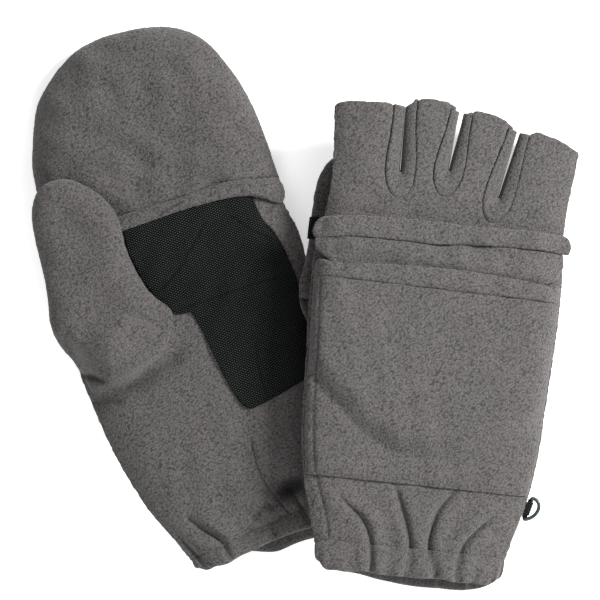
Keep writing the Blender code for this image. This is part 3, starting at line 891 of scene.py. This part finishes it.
# Painted shade in the valley at the thumb's base and in its two nicks.
def thumb_shade(u, v):
    dark = 0.62 * np.exp(-((VALLEY.near(u, v)[0] / 2.8) ** 2)) * ramp(-u, 4, 30)
    for nick in NICKS[:2]:
        dark = np.maximum(dark, 0.8 * np.exp(-((nick.near(u, v)[0] / 0.9) ** 2)))
    return dark


# Painted shade: nearly black in the gathered hollow by the cuff, and along the creases and folds.
def palm_shade(u, v):
    dark = np.maximum(1.55 * np.exp(-((gathered_spot(u, v) / 0.92) ** 4)), thumb_shade(u, v))
    for nick in NICKS[2:]:
        dark = np.maximum(dark, 0.8 * np.exp(-((nick.near(u, v)[0] / 0.5) ** 2)))
    return np.maximum(dark, PALM_GATHERS.shade(u, v))


def creases(u, v):
    """The folds at the thumb's base and near the cuff, where the hand bends."""
    total = -2.5 * np.exp(-((VALLEY.near(u, v)[0] / 4.4) ** 2)) * ramp(-u, 2, 16)
    total += 1.4 * np.exp(-((RIDGE.near(u, v)[0] / 3.4) ** 2)) * ramp(-u, 4, 20)
    for nick in NICKS:
        total -= 1.5 * np.exp(-((nick.near(u, v)[0] / 1.3) ** 2))
    total -= 6.5 * np.exp(-(gathered_spot(u, v) ** 2))
    total += 1.3 * np.exp(-(((u - 12) / 14) ** 2 + ((v - 40) / 9) ** 2))
    return total


def hand_panels(lay):
    """The back and palm panels, each cut out round the strips between its fingers."""
    back, palm = back_surface(lay), palm_surface(lay)
    over = 0.9
    spreads = (over, -0.9) if not lay.palm_up else (-0.9, over)
    loop = finger_outline(lay, CUFF_SEAM - 2.5, 5.4, 7.2, 14.0 if not lay.palm_up else 8.0, spreads[0])
    lines = []
    if not lay.palm_up:
        lines = [groove(((-53, 70), (-51, 56), (-46.5, 38), (-41.5, 24), (-39, 14)), 0.55, 0.9)]
    sewn(lay, "back_panel", "glove", [loop], offset(back, 0.35) if lay.palm_up else back,
         lines=lines + BACK_GATHERS.folds, seed=3, soft=0.05 if lay.palm_up else 0.25,
         shade=BACK_GATHERS.shade, lies=("stretched", "palm_panel"))
    loop = finger_outline(lay, CUFF_SEAM - 2.5, 3.0, 3.2, 5.0, spreads[1])
    hole = closed_loop([(-42 + 10 * math.cos(a), 108 + 7.5 * math.sin(a))
                        for a in np.linspace(0, 2 * math.pi, 36, endpoint=False)])
    lines = [groove(((4.2, 51), (3.2, 47), (1.6, 38), (1.8, 30), (3.4, 22), (5.5, 13)), 0.4, 0.6)]
    sewn(lay, "palm_panel", "glove", [loop, hole], palm, facing=1, lines=lines + PALM_GATHERS.folds, seed=4,
         shade=palm_shade if lay.palm_up else None, lies=("stretched", "back_panel"))
    return back, palm


def fourchette(lay, slit, back, palm):
    """The strip between two fingers: a U sewn to the back, folded down the slit and sewn to the palm."""
    deep = 14.0 if not lay.palm_up else 8.0
    # The profile's stations: how far out from the slit, how deep from back (0) to palm (1), and how closely
    # the two sides press together.
    profile = [(1.12, 0.16, 0), (1.04, 0.13, 0), (0.985, 0.05, 0), (0.93, 0.01, 0), (0.8, 0, 0),
               (0.62, 0, 0), (0.45, 0.02, 0), (0.3, 0.05, 0), (0.18, 0.1, 0), (0.08, 0.17, 0),
               (0.02, 0.27, 0.1), (0, 0.38, 0.4), (0, 0.5, 0.8), (0, 0.62, 1), (0.03, 0.76, 0.8),
               (0.09, 0.88, 0.4), (0.18, 0.96, 0), (0.3, 1, 0), (0.42, 1, 0)]
    shut = 0.02 if slit[4] < 0.5 else 0.75 * slit[4]
    widths = ((5.25, 7.05, deep - 0.15), (slit[4], 0.95, 1.1), (shut, 0.1, 0.3))
    runs = []
    for half_top, half, depth in widths:
        edge = slit_edge(lay, slit, half_top, half, depth)
        edge = edge[edge[:, 1] < finger_tops(lay, edge[:, 0]) - 0.35]
        runs.append(respaced(edge, count=84))
    sewn, open_slit, pressed = runs
    spots = []
    for out, d, tight in profile:
        middle = open_slit + tight * (pressed - open_slit)
        u, v = (middle + out * (sewn - middle)).T
        top = back(u, v)
        spots.append(lay.place(u, v, top + d * (palm(u, v) - 0.3 - top)))
    return np.array(spots)


def shell(name, spots, thick, finish, flip=False):
    """A closed shell from a grid of outer points [row][column], with rounded rims."""
    quads = grid_quads(*spots.shape[:2], columns_meet=False)
    if flip:
        quads = quads[:, ::-1]
    flat = spots.reshape(-1, 3)
    three = np.vstack([quads[:, :3], quads[:, [0, 2, 3]]])
    normal = normals_of(flat, three)
    inner = flat - normal * thick * MM
    count = len(flat)
    faces = [tuple(q) for q in quads] + [tuple(q[::-1] + count) for q in quads]
    ends = np.concatenate([quads[:, [0, 1]], quads[:, [1, 2]], quads[:, [2, 3]], quads[:, [3, 0]]])
    same = np.sort(ends, axis=1)
    _, where, times = np.unique(same, axis=0, return_inverse=True, return_counts=True)
    lone = ends[times[where.reshape(-1)] == 1]
    points = [flat, inner]
    rim_points = np.unique(lone)
    middle = (flat[rim_points] + inner[rim_points]) / 2
    outward = middle - centre_of_neighbours(flat, quads, rim_points)
    outward /= np.maximum(np.linalg.norm(outward, axis=1, keepdims=True), 1e-9)
    middle = middle + outward * thick * 0.42 * MM
    points.append(middle)
    at = {p: 2 * count + i for i, p in enumerate(rim_points)}
    for a, b in lone:
        faces.append((b, a, at[a], at[b]))
        faces.append((at[b], at[a], a + count, b + count))
    return mesh_object(name, np.vstack(points), [tuple(int(i) for i in f) for f in faces], finish)


def centre_of_neighbours(points, quads, chosen):
    total = np.zeros_like(points)
    times = np.zeros(len(points))
    centres = points[quads].mean(1)
    for k in range(4):
        np.add.at(total, quads[:, k], centres)
        np.add.at(times, quads[:, k], 1)
    return (total / np.maximum(times, 1)[:, None])[chosen]


def fourchettes(lay, back, palm):
    for slit in SLITS:
        spots = fourchette(lay, slit, back, palm)
        name = f"{lay.name}_fourchette_{slit[0]}"
        made = shell(name + "_cloth", spots, 1.5, FLEECE_MAT, flip=not lay.palm_up)
        settle_piece(made, lay.glove, "fleece", [name])


def palm_patch(lay, palm):
    """The nylon palm reinforcement, with its faint rows of stitching."""
    loop = closed_loop(curve_through(PATCH[1:-1], 1.2).tolist() + [PATCH[-1], PATCH[0]])
    surface = offset(palm_cover(lay), SEAM_GAP + PATCH_THICK)
    lines = [groove(((17, 158), (8, 148), (-1, 139), (-12, 131)), 0.18, 0.8),
             groove(((-3, 121), (14, 122), (33, 123.5), (51, 123)), 0.15, 0.8),
             groove(((30, 158), (38, 149), (46, 143)), 0.15, 0.8),
             groove(((20, 66.5), (21, 78), (24, 92)), 0.15, 0.8)]
    sewn(lay, "palm_patch", "glove", [loop], surface, PATCH_THICK, 1, NYLON_MAT, "nylon", lines=lines,
         fray=0.03, soft=0.15, seed=5, lies=("stretched", "palm_panel"))
    edge = np.vstack([loop, loop[0]])
    middle = loop.mean(0)
    path = middle + (edge - middle) * 0.975
    path = path[path[:, 1] < 150]
    stitches(lay, "patch", "glove", path, surface, 1, BLACK_THREAD_MAT, "nylon")


def palm_cover(lay):
    """The palm's surface, without the folds that the patch bridges."""
    def height(u, v):
        return lay.palm(u, v) + finger_round(lay, u, v, 0.5)
    return height


def thumb_level(lay):
    return PATCH_OUT + lay.thumb_lift


def thumb(lay, palm):
    """The thumb: one sleeve that grows out of the palm and lifts at its fold, with its inner side."""
    inner = thumb_level(lay)
    top = inner + THUMB_WALL + THUMB_GAP + THUMB_WALL
    outline = curve_through([*THUMB_RIGHT[::-1], *THUMB_LEFT[::-1]], 1.3, True)
    loop = closed_loop(outline)
    edge = Line(loop, True)
    base = Line(curve_through([(-60, 98), (-50, 90.5), (-40, 89.5), (-30, 93.5), (-19, 101.5), (-10, 112)]))

    def sleeve(u, v):
        near = edge.near(u, v)[0]
        fall = THUMB_GAP + THUMB_WALL - 1.0
        full = top + lay.settle(v) - fall * crown(near, 11)
        ground = palm(u, v) + 0.55
        rise = ramp(base.near(u, v)[0], 0, 26)
        past = ramp(v, 112, 127)
        share = np.maximum(rise, past)
        side = ramp(near, 0, 9)
        low = ground + (full - ground) * share * (0.25 + 0.75 * np.maximum(side, past))
        sunk = 1.2 * np.exp(-((near / 1.0) ** 2)) * (1 - past)
        return low - sunk + (1.3 * creases(u, v) * ramp(v, 90, 96) if lay.palm_up else 0)

    made = cloth(f"{lay.name}_thumb_sleeve", lay, [loop], sleeve, THUMB_WALL, 1, FLEECE_MAT, soft=0.35,
                 seed=6, shade=thumb_shade if lay.palm_up else None)
    lay.spot(-40, 112, top)
    lay.spot(-40, 131, top)
    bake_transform(made)
    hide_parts(f"{lay.name}_thumb_gusset", f"{lay.name}_thumb_outer")
    rows = np.array([p for p in loop if p[1] > THUMB_HINGE + 1])
    shrunk = rows.mean(0) + (rows - rows.mean(0)) * 0.975
    under = closed_loop(shrunk)

    def flat(u, v):
        near = edge.near(u, v)[0]
        return inner + lay.settle(v) + 0.8 * crown(near - 1, 7)

    sewn(lay, "thumb_inner", "thumb", [under], flat, THUMB_WALL, seed=7)
    shy = 3.0 if lay.palm_up else 0.0
    loop = closed_loop(((-63.6 + shy, 151.5), (-24.5 - shy, 150), (-24 - shy, 163.5), (-63.6 + shy, 162)))
    sewn(lay, "thumb_patch", "thumb", [loop], offset(flat, 0.3 - SEAM_GAP - PATCH_THICK), PATCH_THICK,
         finish=NYLON_MAT, slot="nylon", fray=0.03, soft=0.0, seed=8)


def grown(points, by):
    """An anticlockwise run of points, moved outwards."""
    across = left_of(np.gradient(points, axis=0))
    out = np.sign(((points - points.mean(0)) * across).sum())
    return points + by * out * across


def hood_crest(lay):
    """The closed hood's palm side: full over the fingers, down to its seam at the sides and tip."""
    edge = Line(grown(curve_through(CLOSED_HOOD, 1.0), 1.1))
    rim = BACK_OUT - HOOD_CLEAR + SEAM_GAP + HOOD_THICK - 2.6
    full = PALM_OUT + SEAM_GAP + HOOD_THICK + 0.2

    def height(u, v):
        near = edge.near(u, v)[0]
        dome = full - (full - rim) * crown(near + 0.9, 22)
        return dome - 0.9 * np.exp(-(((u - 4) / 24) ** 2 + ((v - 205) / 22) ** 2))
    return height


HEM_LOW = ((-56.5, 158.6), (-40, 160.8), (-21, 162.8), (7, 165.4), (25, 166), (39, 164.8), (47, 161.6),
           (52.6, 158.2))
HEM_HIGH = ((56.4, 171.6), (48, 173), (38, 174.6), (27, 175.4), (3, 172.9), (-21, 171.8), (-40, 171),
            (-58.6, 169))


def flattens(lay, piece, level):
    """Gives the piece a mesh of its own. The point it finds at this level in h is not used."""
    anchor = lay.spot(0, 200 if lay.palm_up else 120, level)
    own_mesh(piece)


def closed_hood(lay):
    """The hood over the fingers: a flat back, a crowned palm side, and its stitched hem."""
    crest = hood_crest(lay)
    low = BACK_OUT - HOOD_CLEAR - HOOD_THICK
    outline = curve_through(CLOSED_HOOD, 1.2)
    edge = Line(outline)
    loop = closed_loop([p for p in outline if p[1] > HOOD_HINGE + 0.3])

    def under(u, v):
        return low + 2.8 * crown(edge.near(u, v)[0], 9)

    sewn(lay, "hood_back", "hood", [loop], under, HOOD_THICK, soft=0.05, seed=9, node="hood_back_panel",
         lies=("laid", "back_panel"))
    hem_top = curve_through(HEM_HIGH, 1.2)
    stitched = Line(hem_top)
    wide = grown(outline, 1.1)
    loop = closed_loop([p for p in wide if p[1] > 166.5])

    def over_fingers(u, v):
        return crest(u, v) - lapped(stitched, u, v, 1.9)

    pieces = [sewn(lay, "hood_palm", "hood", [loop], over_fingers, HOOD_THICK, 1, soft=0.5, rim=1.2, seed=10,
                   node="hood_palm_panel", lies=("draped", "palm_panel"))]
    hem_low = curve_through(HEM_LOW, 1.2)
    right_end = curve_through(((52.6, 158.2), (56, 159), (58, 162), (58.2, 166.5), (56.4, 171.6)), 1.0)
    left_end = curve_through(((-58.6, 169), (-59.4, 165), (-58.8, 161), (-56.5, 158.6)), 1.0)
    loop = closed_loop(np.vstack([hem_low[:-1], right_end[:-1], hem_top[:-1], left_end[:-1]]))
    top_edge = Line(hem_top)
    low_edge = Line(hem_low)

    def hem(u, v):
        near_top, near_low = top_edge.near(u, v)[0], low_edge.near(u, v)[0]
        share = near_low / np.maximum(near_low + near_top, 1e-6)
        full = 2.1 * np.sin(math.pi * np.clip(share, 0, 1)) ** 0.7
        return crest(u * 0.95, np.maximum(v, 170)) + full - 0.3

    crease = groove(((-3, 166.5), (3, 168.5), (9, 170)), 0.5, 0.6)
    pieces.append(sewn(lay, "hood_hem", "hood", [loop], hem, 3.0, 1, lines=[crease], rim=2.0, seed=11))
    path = np.array([p for p in hem_top if abs(p[0]) < 52]) + (0, -1.0)
    pieces.append(stitches(lay, "hood", "hood", path, offset(hem, -0.55), 1))
    for piece in pieces:
        flattens(lay, piece, BACK_OUT - HOOD_CLEAR)


def draped(lay):
    """The layer that a flipped hood and its pocket lie on: the back panel, with its sides opened out."""
    return lambda u, v: BACK_OUT + EDGE_FALL * crown(lay.edge_distance(u, v) + 1.2, EDGE_ZONE + 1.2)


def open_hood(lay):
    """The hood flipped back: its hem across the knuckles, and the rest tucked into the pocket."""
    inner = offset(draped(lay), -HOOD_CLEAR - HOOD_THICK)
    outer = offset(inner, -SEAM_GAP - HOOD_THICK - 0.5)
    mirrored = np.array([(u, 2 * HOOD_HINGE - v) for u, v in curve_through(CLOSED_HOOD, 1.2)])
    mirrored[:, 0] *= np.where(mirrored[:, 1] < 147, 0.885, 0.96)
    loop = closed_loop([p for p in mirrored if p[1] < HOOD_HINGE - 0.4])
    made = sewn(lay, "hood_back", "hood", [loop], inner, HOOD_THICK, seed=12, node="hood_back_panel",
                lies=("folded", "back_panel"))
    back_level = BACK_OUT - HOOD_CLEAR - HOOD_THICK
    flattens(lay, made, back_level + 1.0)
    tucked = [(u, v) for u, v in mirrored if v < 141]
    band = [(55, 144), (57.8, 146.5), (58.8, 152), (58, 161), (-56, 158), (-60, 152), (-60.2, 147),
            (-55.5, 143.4)]
    loop = closed_loop(tucked + band if tucked[0][0] < tucked[-1][0] else tucked[::-1] + band)
    low = curve_through(((-60.5, 150.6), (-52, 151.6), (-37, 153.4), (-18, 153.9), (-3, 154), (16, 155.8),
                         (32, 156.7), (49, 157.2), (60.5, 156.6)), 1.2)
    stitched = Line(low)

    def palm_side(u, v):
        puff = 1.2 * ramp(v, 142, 148) * (1 - ramp(v, 150, 156.5))
        return outer(u, v) - puff + lapped(stitched, u, v, 1.8)

    pieces = [sewn(lay, "hood_palm", "hood", [loop], palm_side, HOOD_THICK, soft=0.45, seed=13, rim=1.4,
                   node="hood_palm_panel", lies=("folded", "hood_back"))]
    right_end = curve_through(((60.5, 156.6), (62, 158.4), (62.4, 162), (60.6, 165.8), (57, 167.2)), 1.0)
    high = curve_through(((57, 167.2), (36, 167.2), (15, 166), (-8, 165.9), (-30, 165.2), (-46, 164),
                          (-57, 162.6)), 1.2)
    left_end = curve_through(((-57, 162.6), (-60, 160.6), (-61.8, 157), (-62, 153.4), (-60.5, 150.6)), 1.0)
    loop = closed_loop(np.vstack([low[:-1], right_end[:-1], high[:-1], left_end[:-1]]))
    edge = Line(loop, True)

    def hem(u, v):
        near = edge.near(u, v)[0]
        return outer(u, v) - 2.2 + 1.9 * crown(near, 6.5)

    pieces.append(sewn(lay, "hood_hem", "hood", [loop], hem, 3.4, rim=1.9, soft=0.55, seed=14))
    path = low[(low[:, 0] > -56) & (low[:, 0] < 56)] + (0, 1.1)
    pieces.append(stitches(lay, "hood", "hood", path, offset(hem, 0.6), -1))
    for piece in pieces:
        flattens(lay, piece, back_level + 0.6)


TIP_CREASE = Line(curve_through(((-56, 88), (-44, 77), (-30, 65), (-16, 56.5), (2, 54.5), (20, 56),
                                 (38, 63), (52, 71), (60, 80))))


def pocket(lay, back):
    """The pocket on the back of the hand: its sides and foot sewn down, its mouth hemmed."""
    full = BACK_OUT if lay.palm_up else 7.6
    base = (lambda u, v: BACK_OUT + 0 * u) if lay.palm_up else draped(lay)

    def outer(u, v):
        left, right = between(lay.sides, v)
        side = np.minimum(u - left, right - u)
        seamed = np.maximum(crown(side + 0.8, 2.4 if lay.palm_up else 8), crown(v - POCKET_SEAM + 0.1, 6))
        out = full
        if not lay.palm_up:
            near, turn = TIP_CREASE.near(u, v)
            signed = near * turn
            out = 3.0 + (full - 3.0) * ramp(signed, -1.5, 10.5)
            out = out - 0.9 * np.exp(-((near / 2.6) ** 2)) * ramp(-u, -20, 20)
        return base(u, v) - out + (out - 0.4) * seamed

    stitched = Line(np.array([(u, POCKET_STITCH) for u in np.arange(-64, 64.1, 1.0)]))

    def panel(u, v):
        return outer(u, v) + lapped(stitched, u, v, 1.9)

    loop = closed_loop(side_loop(lay, POCKET_SEAM, POCKET_STITCH + 3.5, -0.3))
    lines = []
    if not lay.palm_up:
        lines = [groove(((-55.5, 132), (-54, 110), (-52.5, 80), (-51, 60), (-48.6, 43)), 0.5, 0.9),
                 groove(((-51, 42.4), (-25, 42.8), (-5, 43), (12, 42.4), (30, 42.6), (51, 42)), 0.3, 0.6,
                        seam=False)]
    sewn(lay, "pocket", "glove", [loop], panel, lines=lines, soft=0.08 if lay.palm_up else 0.24, seed=15,
         node="pocket_panel", lies=("laid", "back_panel"))
    vs = np.arange(POCKET_STITCH, POCKET_MOUTH + 0.6, 1.0)
    left, right = between(lay.sides, vs)
    tuck = 0.25 * np.maximum(vs - 141, 0) ** 2 - 0.5
    sides = [*zip(right - tuck, vs)]
    sides += [(u, 144.4 - 0.0012 * (u - 8) ** 2) for u in np.arange(54, -50, -4)]
    sides += [*zip(left[::-1] + tuck[::-1], vs[::-1] - 1.2 * ramp(vs[::-1], 138, 143))]
    loop = closed_loop(sides)
    edge = Line(loop, True)

    def hem(u, v):
        near = edge.near(u, v)[0]
        return outer(u, v) - 0.9 + 1.1 * crown(near, 4)

    sewn(lay, "pocket_hem", "glove", [loop], hem, FLEECE + 0.4, rim=1.3, seed=16)
    path = np.array([(u, POCKET_STITCH + 0.9) for u in np.arange(-56, 56.1, 1.0)])
    stitches(lay, "pocket", "glove", path, offset(hem, 0.5), -1)


def cuff(lay, back, palm):
    """The cuff: cloth folded over its elastic, gathered into soft folds."""
    stations, mid = 300, (BACK_OUT + PALM_OUT) / 2
    t = np.linspace(0, 2 * math.pi, stations, endpoint=False)
    back_side = np.sin(t) < 0

    def section(v, grow):
        """The cuff's outer line at v, grown outwards by grow."""
        half = between(lay.sides, v)[1]
        cosine, sine = np.cos(t), np.sin(t)
        u = (half + grow) * np.sign(cosine) * np.abs(cosine) ** 0.85
        oval = mid + (CUFF_HALF_HEIGHT + grow) * np.sign(sine) * np.abs(sine) ** 0.8
        vs = np.full(stations, v)
        flat = np.where(back_side, back(u, np.full(stations, 12.6)) - 0.4 - grow,
                        palm(u, np.full(stations, 12.6)) + 0.4 + grow)
        share = ramp(-vs, -13, -3)
        h = flat + (oval - flat) * share
        bulge = np.where(back_side, -BACK_GATHERS.bulge(u, vs), PALM_GATHERS.bulge(u, vs)) * 0.8
        return u, vs, h + bulge * share

    front = back_side if not lay.palm_up else ~back_side
    random = np.random.default_rng(21)
    wave = sum(np.cos(k * t + random.uniform(0, 6.3)) * random.uniform(0.2, 0.5) for k in (3, 5, 8, 11, 15))
    across = 43 * np.cos(t)
    if lay.palm_up:
        near_end = 3.6 - 6.0 * ramp(across, 0, 28)
        far_end = near_end - 6.4 * ramp(across, -20, -3) * (1 - ramp(across, 32, 43)) + 0.8
    else:
        near_end = -1.6
        far_end = CUFF_END + 1.2 + 4.5 * (1 - ramp(across, -38, 4)) + 3.5 * ramp(across, 24, 43)
    corner = 3.4 * np.exp(-(((43 - np.abs(across)) / 2.4) ** 2))
    end = np.where(front, near_end + 0.55 * wave, far_end + 0.3 * wave) + corner
    # The casing's profile: how far up from its end, and how far out.
    levels = ((1.0, -0.9), (0.985, -0.25), (0.95, 0.1), (0.88, 0.35), (0.78, 0.7), (0.66, 0.95),
              (0.54, 1.1), (0.42, 1.2), (0.3, 1.2), (0.2, 1.1), (0.11, 0.75), (0.045, 0.2), (0.01, -0.5),
              (0.0, -1.3), (0.02, -2.1), (0.07, -2.8), (0.16, -3.2), (0.3, -3.4), (0.45, -3.5),
              (0.6, -3.5), (0.75, -3.4), (0.87, -3.2), (0.95, -2.9), (0.985, -2.4), (1.0, -1.7))
    spots, shades = [], []
    ruffle = lumps(40 * np.cos(t), 40 * np.sin(t), 0.55, 9, 22)
    for share, grow in levels:
        v = end + share * (CUFF_SEAM - end)
        low, high = float(v.min()), float(v.max())
        (low_u, _, low_h), (high_u, _, high_h) = (section(value, grow) for value in (low, high))
        part = (v - low) / max(high - low, 1e-6)
        u, h = low_u + (high_u - low_u) * part, low_h + (high_h - low_h) * part
        out = np.where(back_side, -1, 1)
        h = h + out * ruffle * (1 - share) * (0.7 if grow > -1 else 0.9)
        spots.append(lay.place(u, v, h))
        # Painted shade along the bottoms of the folds, on the casing's outer face only.
        folds = np.where(back_side, BACK_GATHERS.shade(u, v), PALM_GATHERS.shade(u, v))
        shades.append(folds if grow > -1.5 else 0 * folds)
    made = ring_mesh(f"{lay.name}_cuff_casing_cloth", np.array(spots), FLEECE_MAT, np.array(shades))
    settle_piece(made, lay.glove, "fleece", [f"{lay.name}_cuff_casing"])
    band = []
    for share, grow in ((0.8, -0.9), (0.6, -0.75), (0.4, -0.7), (0.25, -0.85), (0.25, -1.9), (0.4, -2.1),
                        (0.6, -2.1), (0.8, -1.9)):
        v = end + share * (CUFF_SEAM - end)
        rows = [section(value, grow) for value in (float(v.min()), float(v.max()))]
        u = (rows[0][0] + rows[1][0]) / 2
        h = (rows[0][2] + rows[1][2]) / 2
        band.append(lay.place(u, v, h))
    made = ring_mesh(f"{lay.name}_cuff_elastic_band", np.array(band), ELASTIC_MAT)
    settle_piece(made, lay.glove, "elastic", [f"{lay.name}_cuff_elastic"])


def ring_mesh(name, spots, finish, shades=None):
    """A closed profile carried round a loop: spots[profile][station]."""
    flat = spots.reshape(-1, 3)
    faces = grid_quads(*spots.shape[:2], rows_meet=True)
    a, b, c = (flat[np.vstack([faces[:, :3], faces[:, [0, 2, 3]]])[:, k]] for k in range(3))
    if (a * np.cross(b, c)).sum() < 0:
        faces = faces[:, ::-1]
    return mesh_object(name, flat, faces, finish, None if shades is None else shades.ravel())


def d_ring(lay):
    """The small D-ring at the side seam, its straight side wrapped in tape and held by a folded tab."""
    edge = float(between(lay.sides, D_RING_V)[1])
    half, reach, slant, wire = 5.2, 5.1, 0.27, 0.88
    bar_u = D_RING_BAR
    h = 16.35 if not lay.palm_up else 10.15
    low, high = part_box(f"{lay.name}_d_ring")
    level = (low.z + high.z) / 2

    def at(u, v, rise=0.0):
        spot = lay.place(u, v, h)
        return np.array((spot[0], spot[1], level + rise * MM))

    turns = np.linspace(-math.pi / 2, math.pi / 2, 40)
    bow = [at(bar_u + reach * math.cos(a) + slant * half * math.sin(a), D_RING_V + half * math.sin(a))
           for a in turns]
    bar = [at(bar_u + slant * half * s, D_RING_V + half * s) for s in np.linspace(1, -1, 16)]
    path = round_corners(np.array(bow + bar[1:-1]))
    made = tube(f"{lay.name}_d_ring_wire", path, wire * MM, RING_MAT, True)
    settle_piece(made, f"{lay.name}_d_ring", "ring", [f"{lay.name}_d_ring"])
    points, radii = [], []
    span = np.linspace(-0.86, 0.86, 170)
    for s in span:
        points.append(at(bar_u + slant * half * s, D_RING_V + half * s))
        radii.append((1.2 + 0.13 * math.cos(s / 1.72 * 2 * math.pi * 13)) * MM)
    radii[0] = radii[-1] = 0.66 * MM
    made = tube(f"{lay.name}_d_ring_wrap", np.array(points), radii, BLACK_THREAD_MAT, False)
    settle_piece(made, f"{lay.name}_d_ring", "nylon", [])
    tab(lay, at, bar_u, edge, slant)


def round_corners(path):
    """The same closed path with its corners eased."""
    for _ in range(3):
        path = 0.25 * np.roll(path, 1, axis=0) + 0.5 * path + 0.25 * np.roll(path, -1, axis=0)
    return path


def tube(name, path, radius, finish, closed, sides=12):
    """A round tube along a path, with flat ends where it isn't closed."""
    count = len(path)
    if closed:
        along = np.roll(path, -1, axis=0) - np.roll(path, 1, axis=0)
    else:
        along = np.gradient(path, axis=0)
    along /= np.linalg.norm(along, axis=1, keepdims=True)
    side = np.cross(along, (0, 0, 1.0))
    side /= np.maximum(np.linalg.norm(side, axis=1, keepdims=True), 1e-9)
    up = np.cross(side, along)
    radii = np.broadcast_to(np.asarray(radius, float), (count,))[:, None]
    turns = [2 * math.pi * k / sides for k in range(sides)]
    points = np.stack([path + radii * (math.cos(a) * side + math.sin(a) * up) for a in turns], 1)
    faces = grid_quads(count, sides, rows_meet=closed)[:, (0, 3, 2, 1)].tolist()
    if not closed:
        faces += [range(sides), range(count * sides - 1, (count - 1) * sides - 1, -1)]
    return mesh_object(name, points.reshape(-1, 3), faces, finish)


def tab(lay, at, bar_u, edge, slant):
    """A tape folded round the ring's bar, its ends going into the side seam."""
    half = 3.2
    turns = np.linspace(math.pi / 2, -math.pi / 2, 13)

    def fold(out, tucked, seam):
        """One face of the tape: (u, rise), from the seam round the bar and back."""
        return [(edge - 2.5, out * tucked), (edge, out * seam),
                *((bar_u + out * math.cos(a), out * math.sin(a)) for a in turns),
                (edge, -out * seam), (edge - 2.5, -out * tucked)]

    outline = fold(1.75, 0.8, 0.95) + fold(1.15, 0.2, 0.6)[::-1]
    spots = np.array([[at(u + slant * s * half, D_RING_V + s * half, rise * (1 - 0.1 * s**8))
                       for u, rise in outline] for s in np.linspace(-1, 1, 9)])
    rows, columns = spots.shape[:2]
    faces = grid_quads(rows, columns).tolist()
    for i, turn in ((0, 1), (rows - 1, -1)):
        for j in range(columns // 2 - 1):
            ends = (j, columns - 1 - j, columns - 2 - j, j + 1)
            faces.append([i * columns + k for k in ends][::turn])
    made = mesh_object(f"{lay.name}_d_ring_tab_tape", spots.reshape(-1, 3), faces, NYLON_MAT)
    shape = bmesh.new()
    shape.from_mesh(made.data)
    bmesh.ops.recalc_face_normals(shape, faces=shape.faces)
    shape.to_mesh(made.data)
    shape.free()
    settle_piece(made, lay.glove, "nylon", [f"{lay.name}_d_ring_tab"])


def mitten(lay):
    back, palm = hand_panels(lay)
    fourchettes(lay, back, palm)
    palm_patch(lay, palm)
    thumb(lay, palm)
    pocket(lay, back)
    if lay.palm_up:
        closed_hood(lay)
    else:
        open_hood(lay)
    cuff(lay, back, palm)
    d_ring(lay)


# ---- Studio ----


def studio():
    size = 4.0
    mesh = bpy.data.meshes.new("floor")
    mesh.from_pydata([(-size, -size, 0), (size, -size, 0), (size, size, 0), (-size, size, 0)], [],
                     [(0, 1, 2, 3)])
    mesh.materials.append(floor_material())
    floor = bpy.data.objects.new("floor", mesh)
    floor.location.z = -0.0006
    bpy.context.collection.objects.link(floor)
    for name, place, size, power in (("key", (1.0, 0.45, 0.88), 0.5, 35.0),
                                     ("fill", (-1.0, 0.3, 1.2), 1.4, 4.0),
                                     ("front", (0.3, -1.2, 1.0), 1.2, 14.0)):
        data = bpy.data.lights.new(name, "AREA")
        data.shape = "DISK"
        data.size = size
        data.energy = power
        light = bpy.data.objects.new(name, data)
        light.location = place
        light.rotation_mode = "QUATERNION"
        light.rotation_quaternion = (Vector((0, 0, 0.01)) - Vector(place)).to_track_quat("-Z", "Y")
        bpy.context.collection.objects.link(light)
    world = bpy.data.worlds.new("studio")
    world.use_nodes = True
    world.node_tree.nodes["Background"].inputs["Color"].default_value = (1, 1, 1, 1)
    world.node_tree.nodes["Background"].inputs["Strength"].default_value = 0.36
    bpy.context.scene.world = world
    bpy.context.scene.view_settings.view_transform = "Standard"


def camera():
    """Almost straight down, a little from the cuffs' side, through a long lens."""
    data = bpy.data.cameras.new("camera")
    data.lens = 200
    data.sensor_width = 36
    made = bpy.data.objects.new("camera", data)
    elevation = math.radians(87)
    target = Vector((-0.00335, 0.00485, 0.012))
    away = 0.285 * data.lens / data.sensor_width
    made.location = target + away * Vector((0, -math.cos(elevation), math.sin(elevation)))
    made.rotation_mode = "QUATERNION"
    made.rotation_quaternion = (target - made.location).to_track_quat("-Z", "Y")
    data.clip_start, data.clip_end = 0.05, 20
    bpy.context.collection.objects.link(made)
    bpy.context.scene.camera = made


camera()
studio()
mitten(LEFT)
mitten(RIGHT)
bpy.context.view_layer.update()
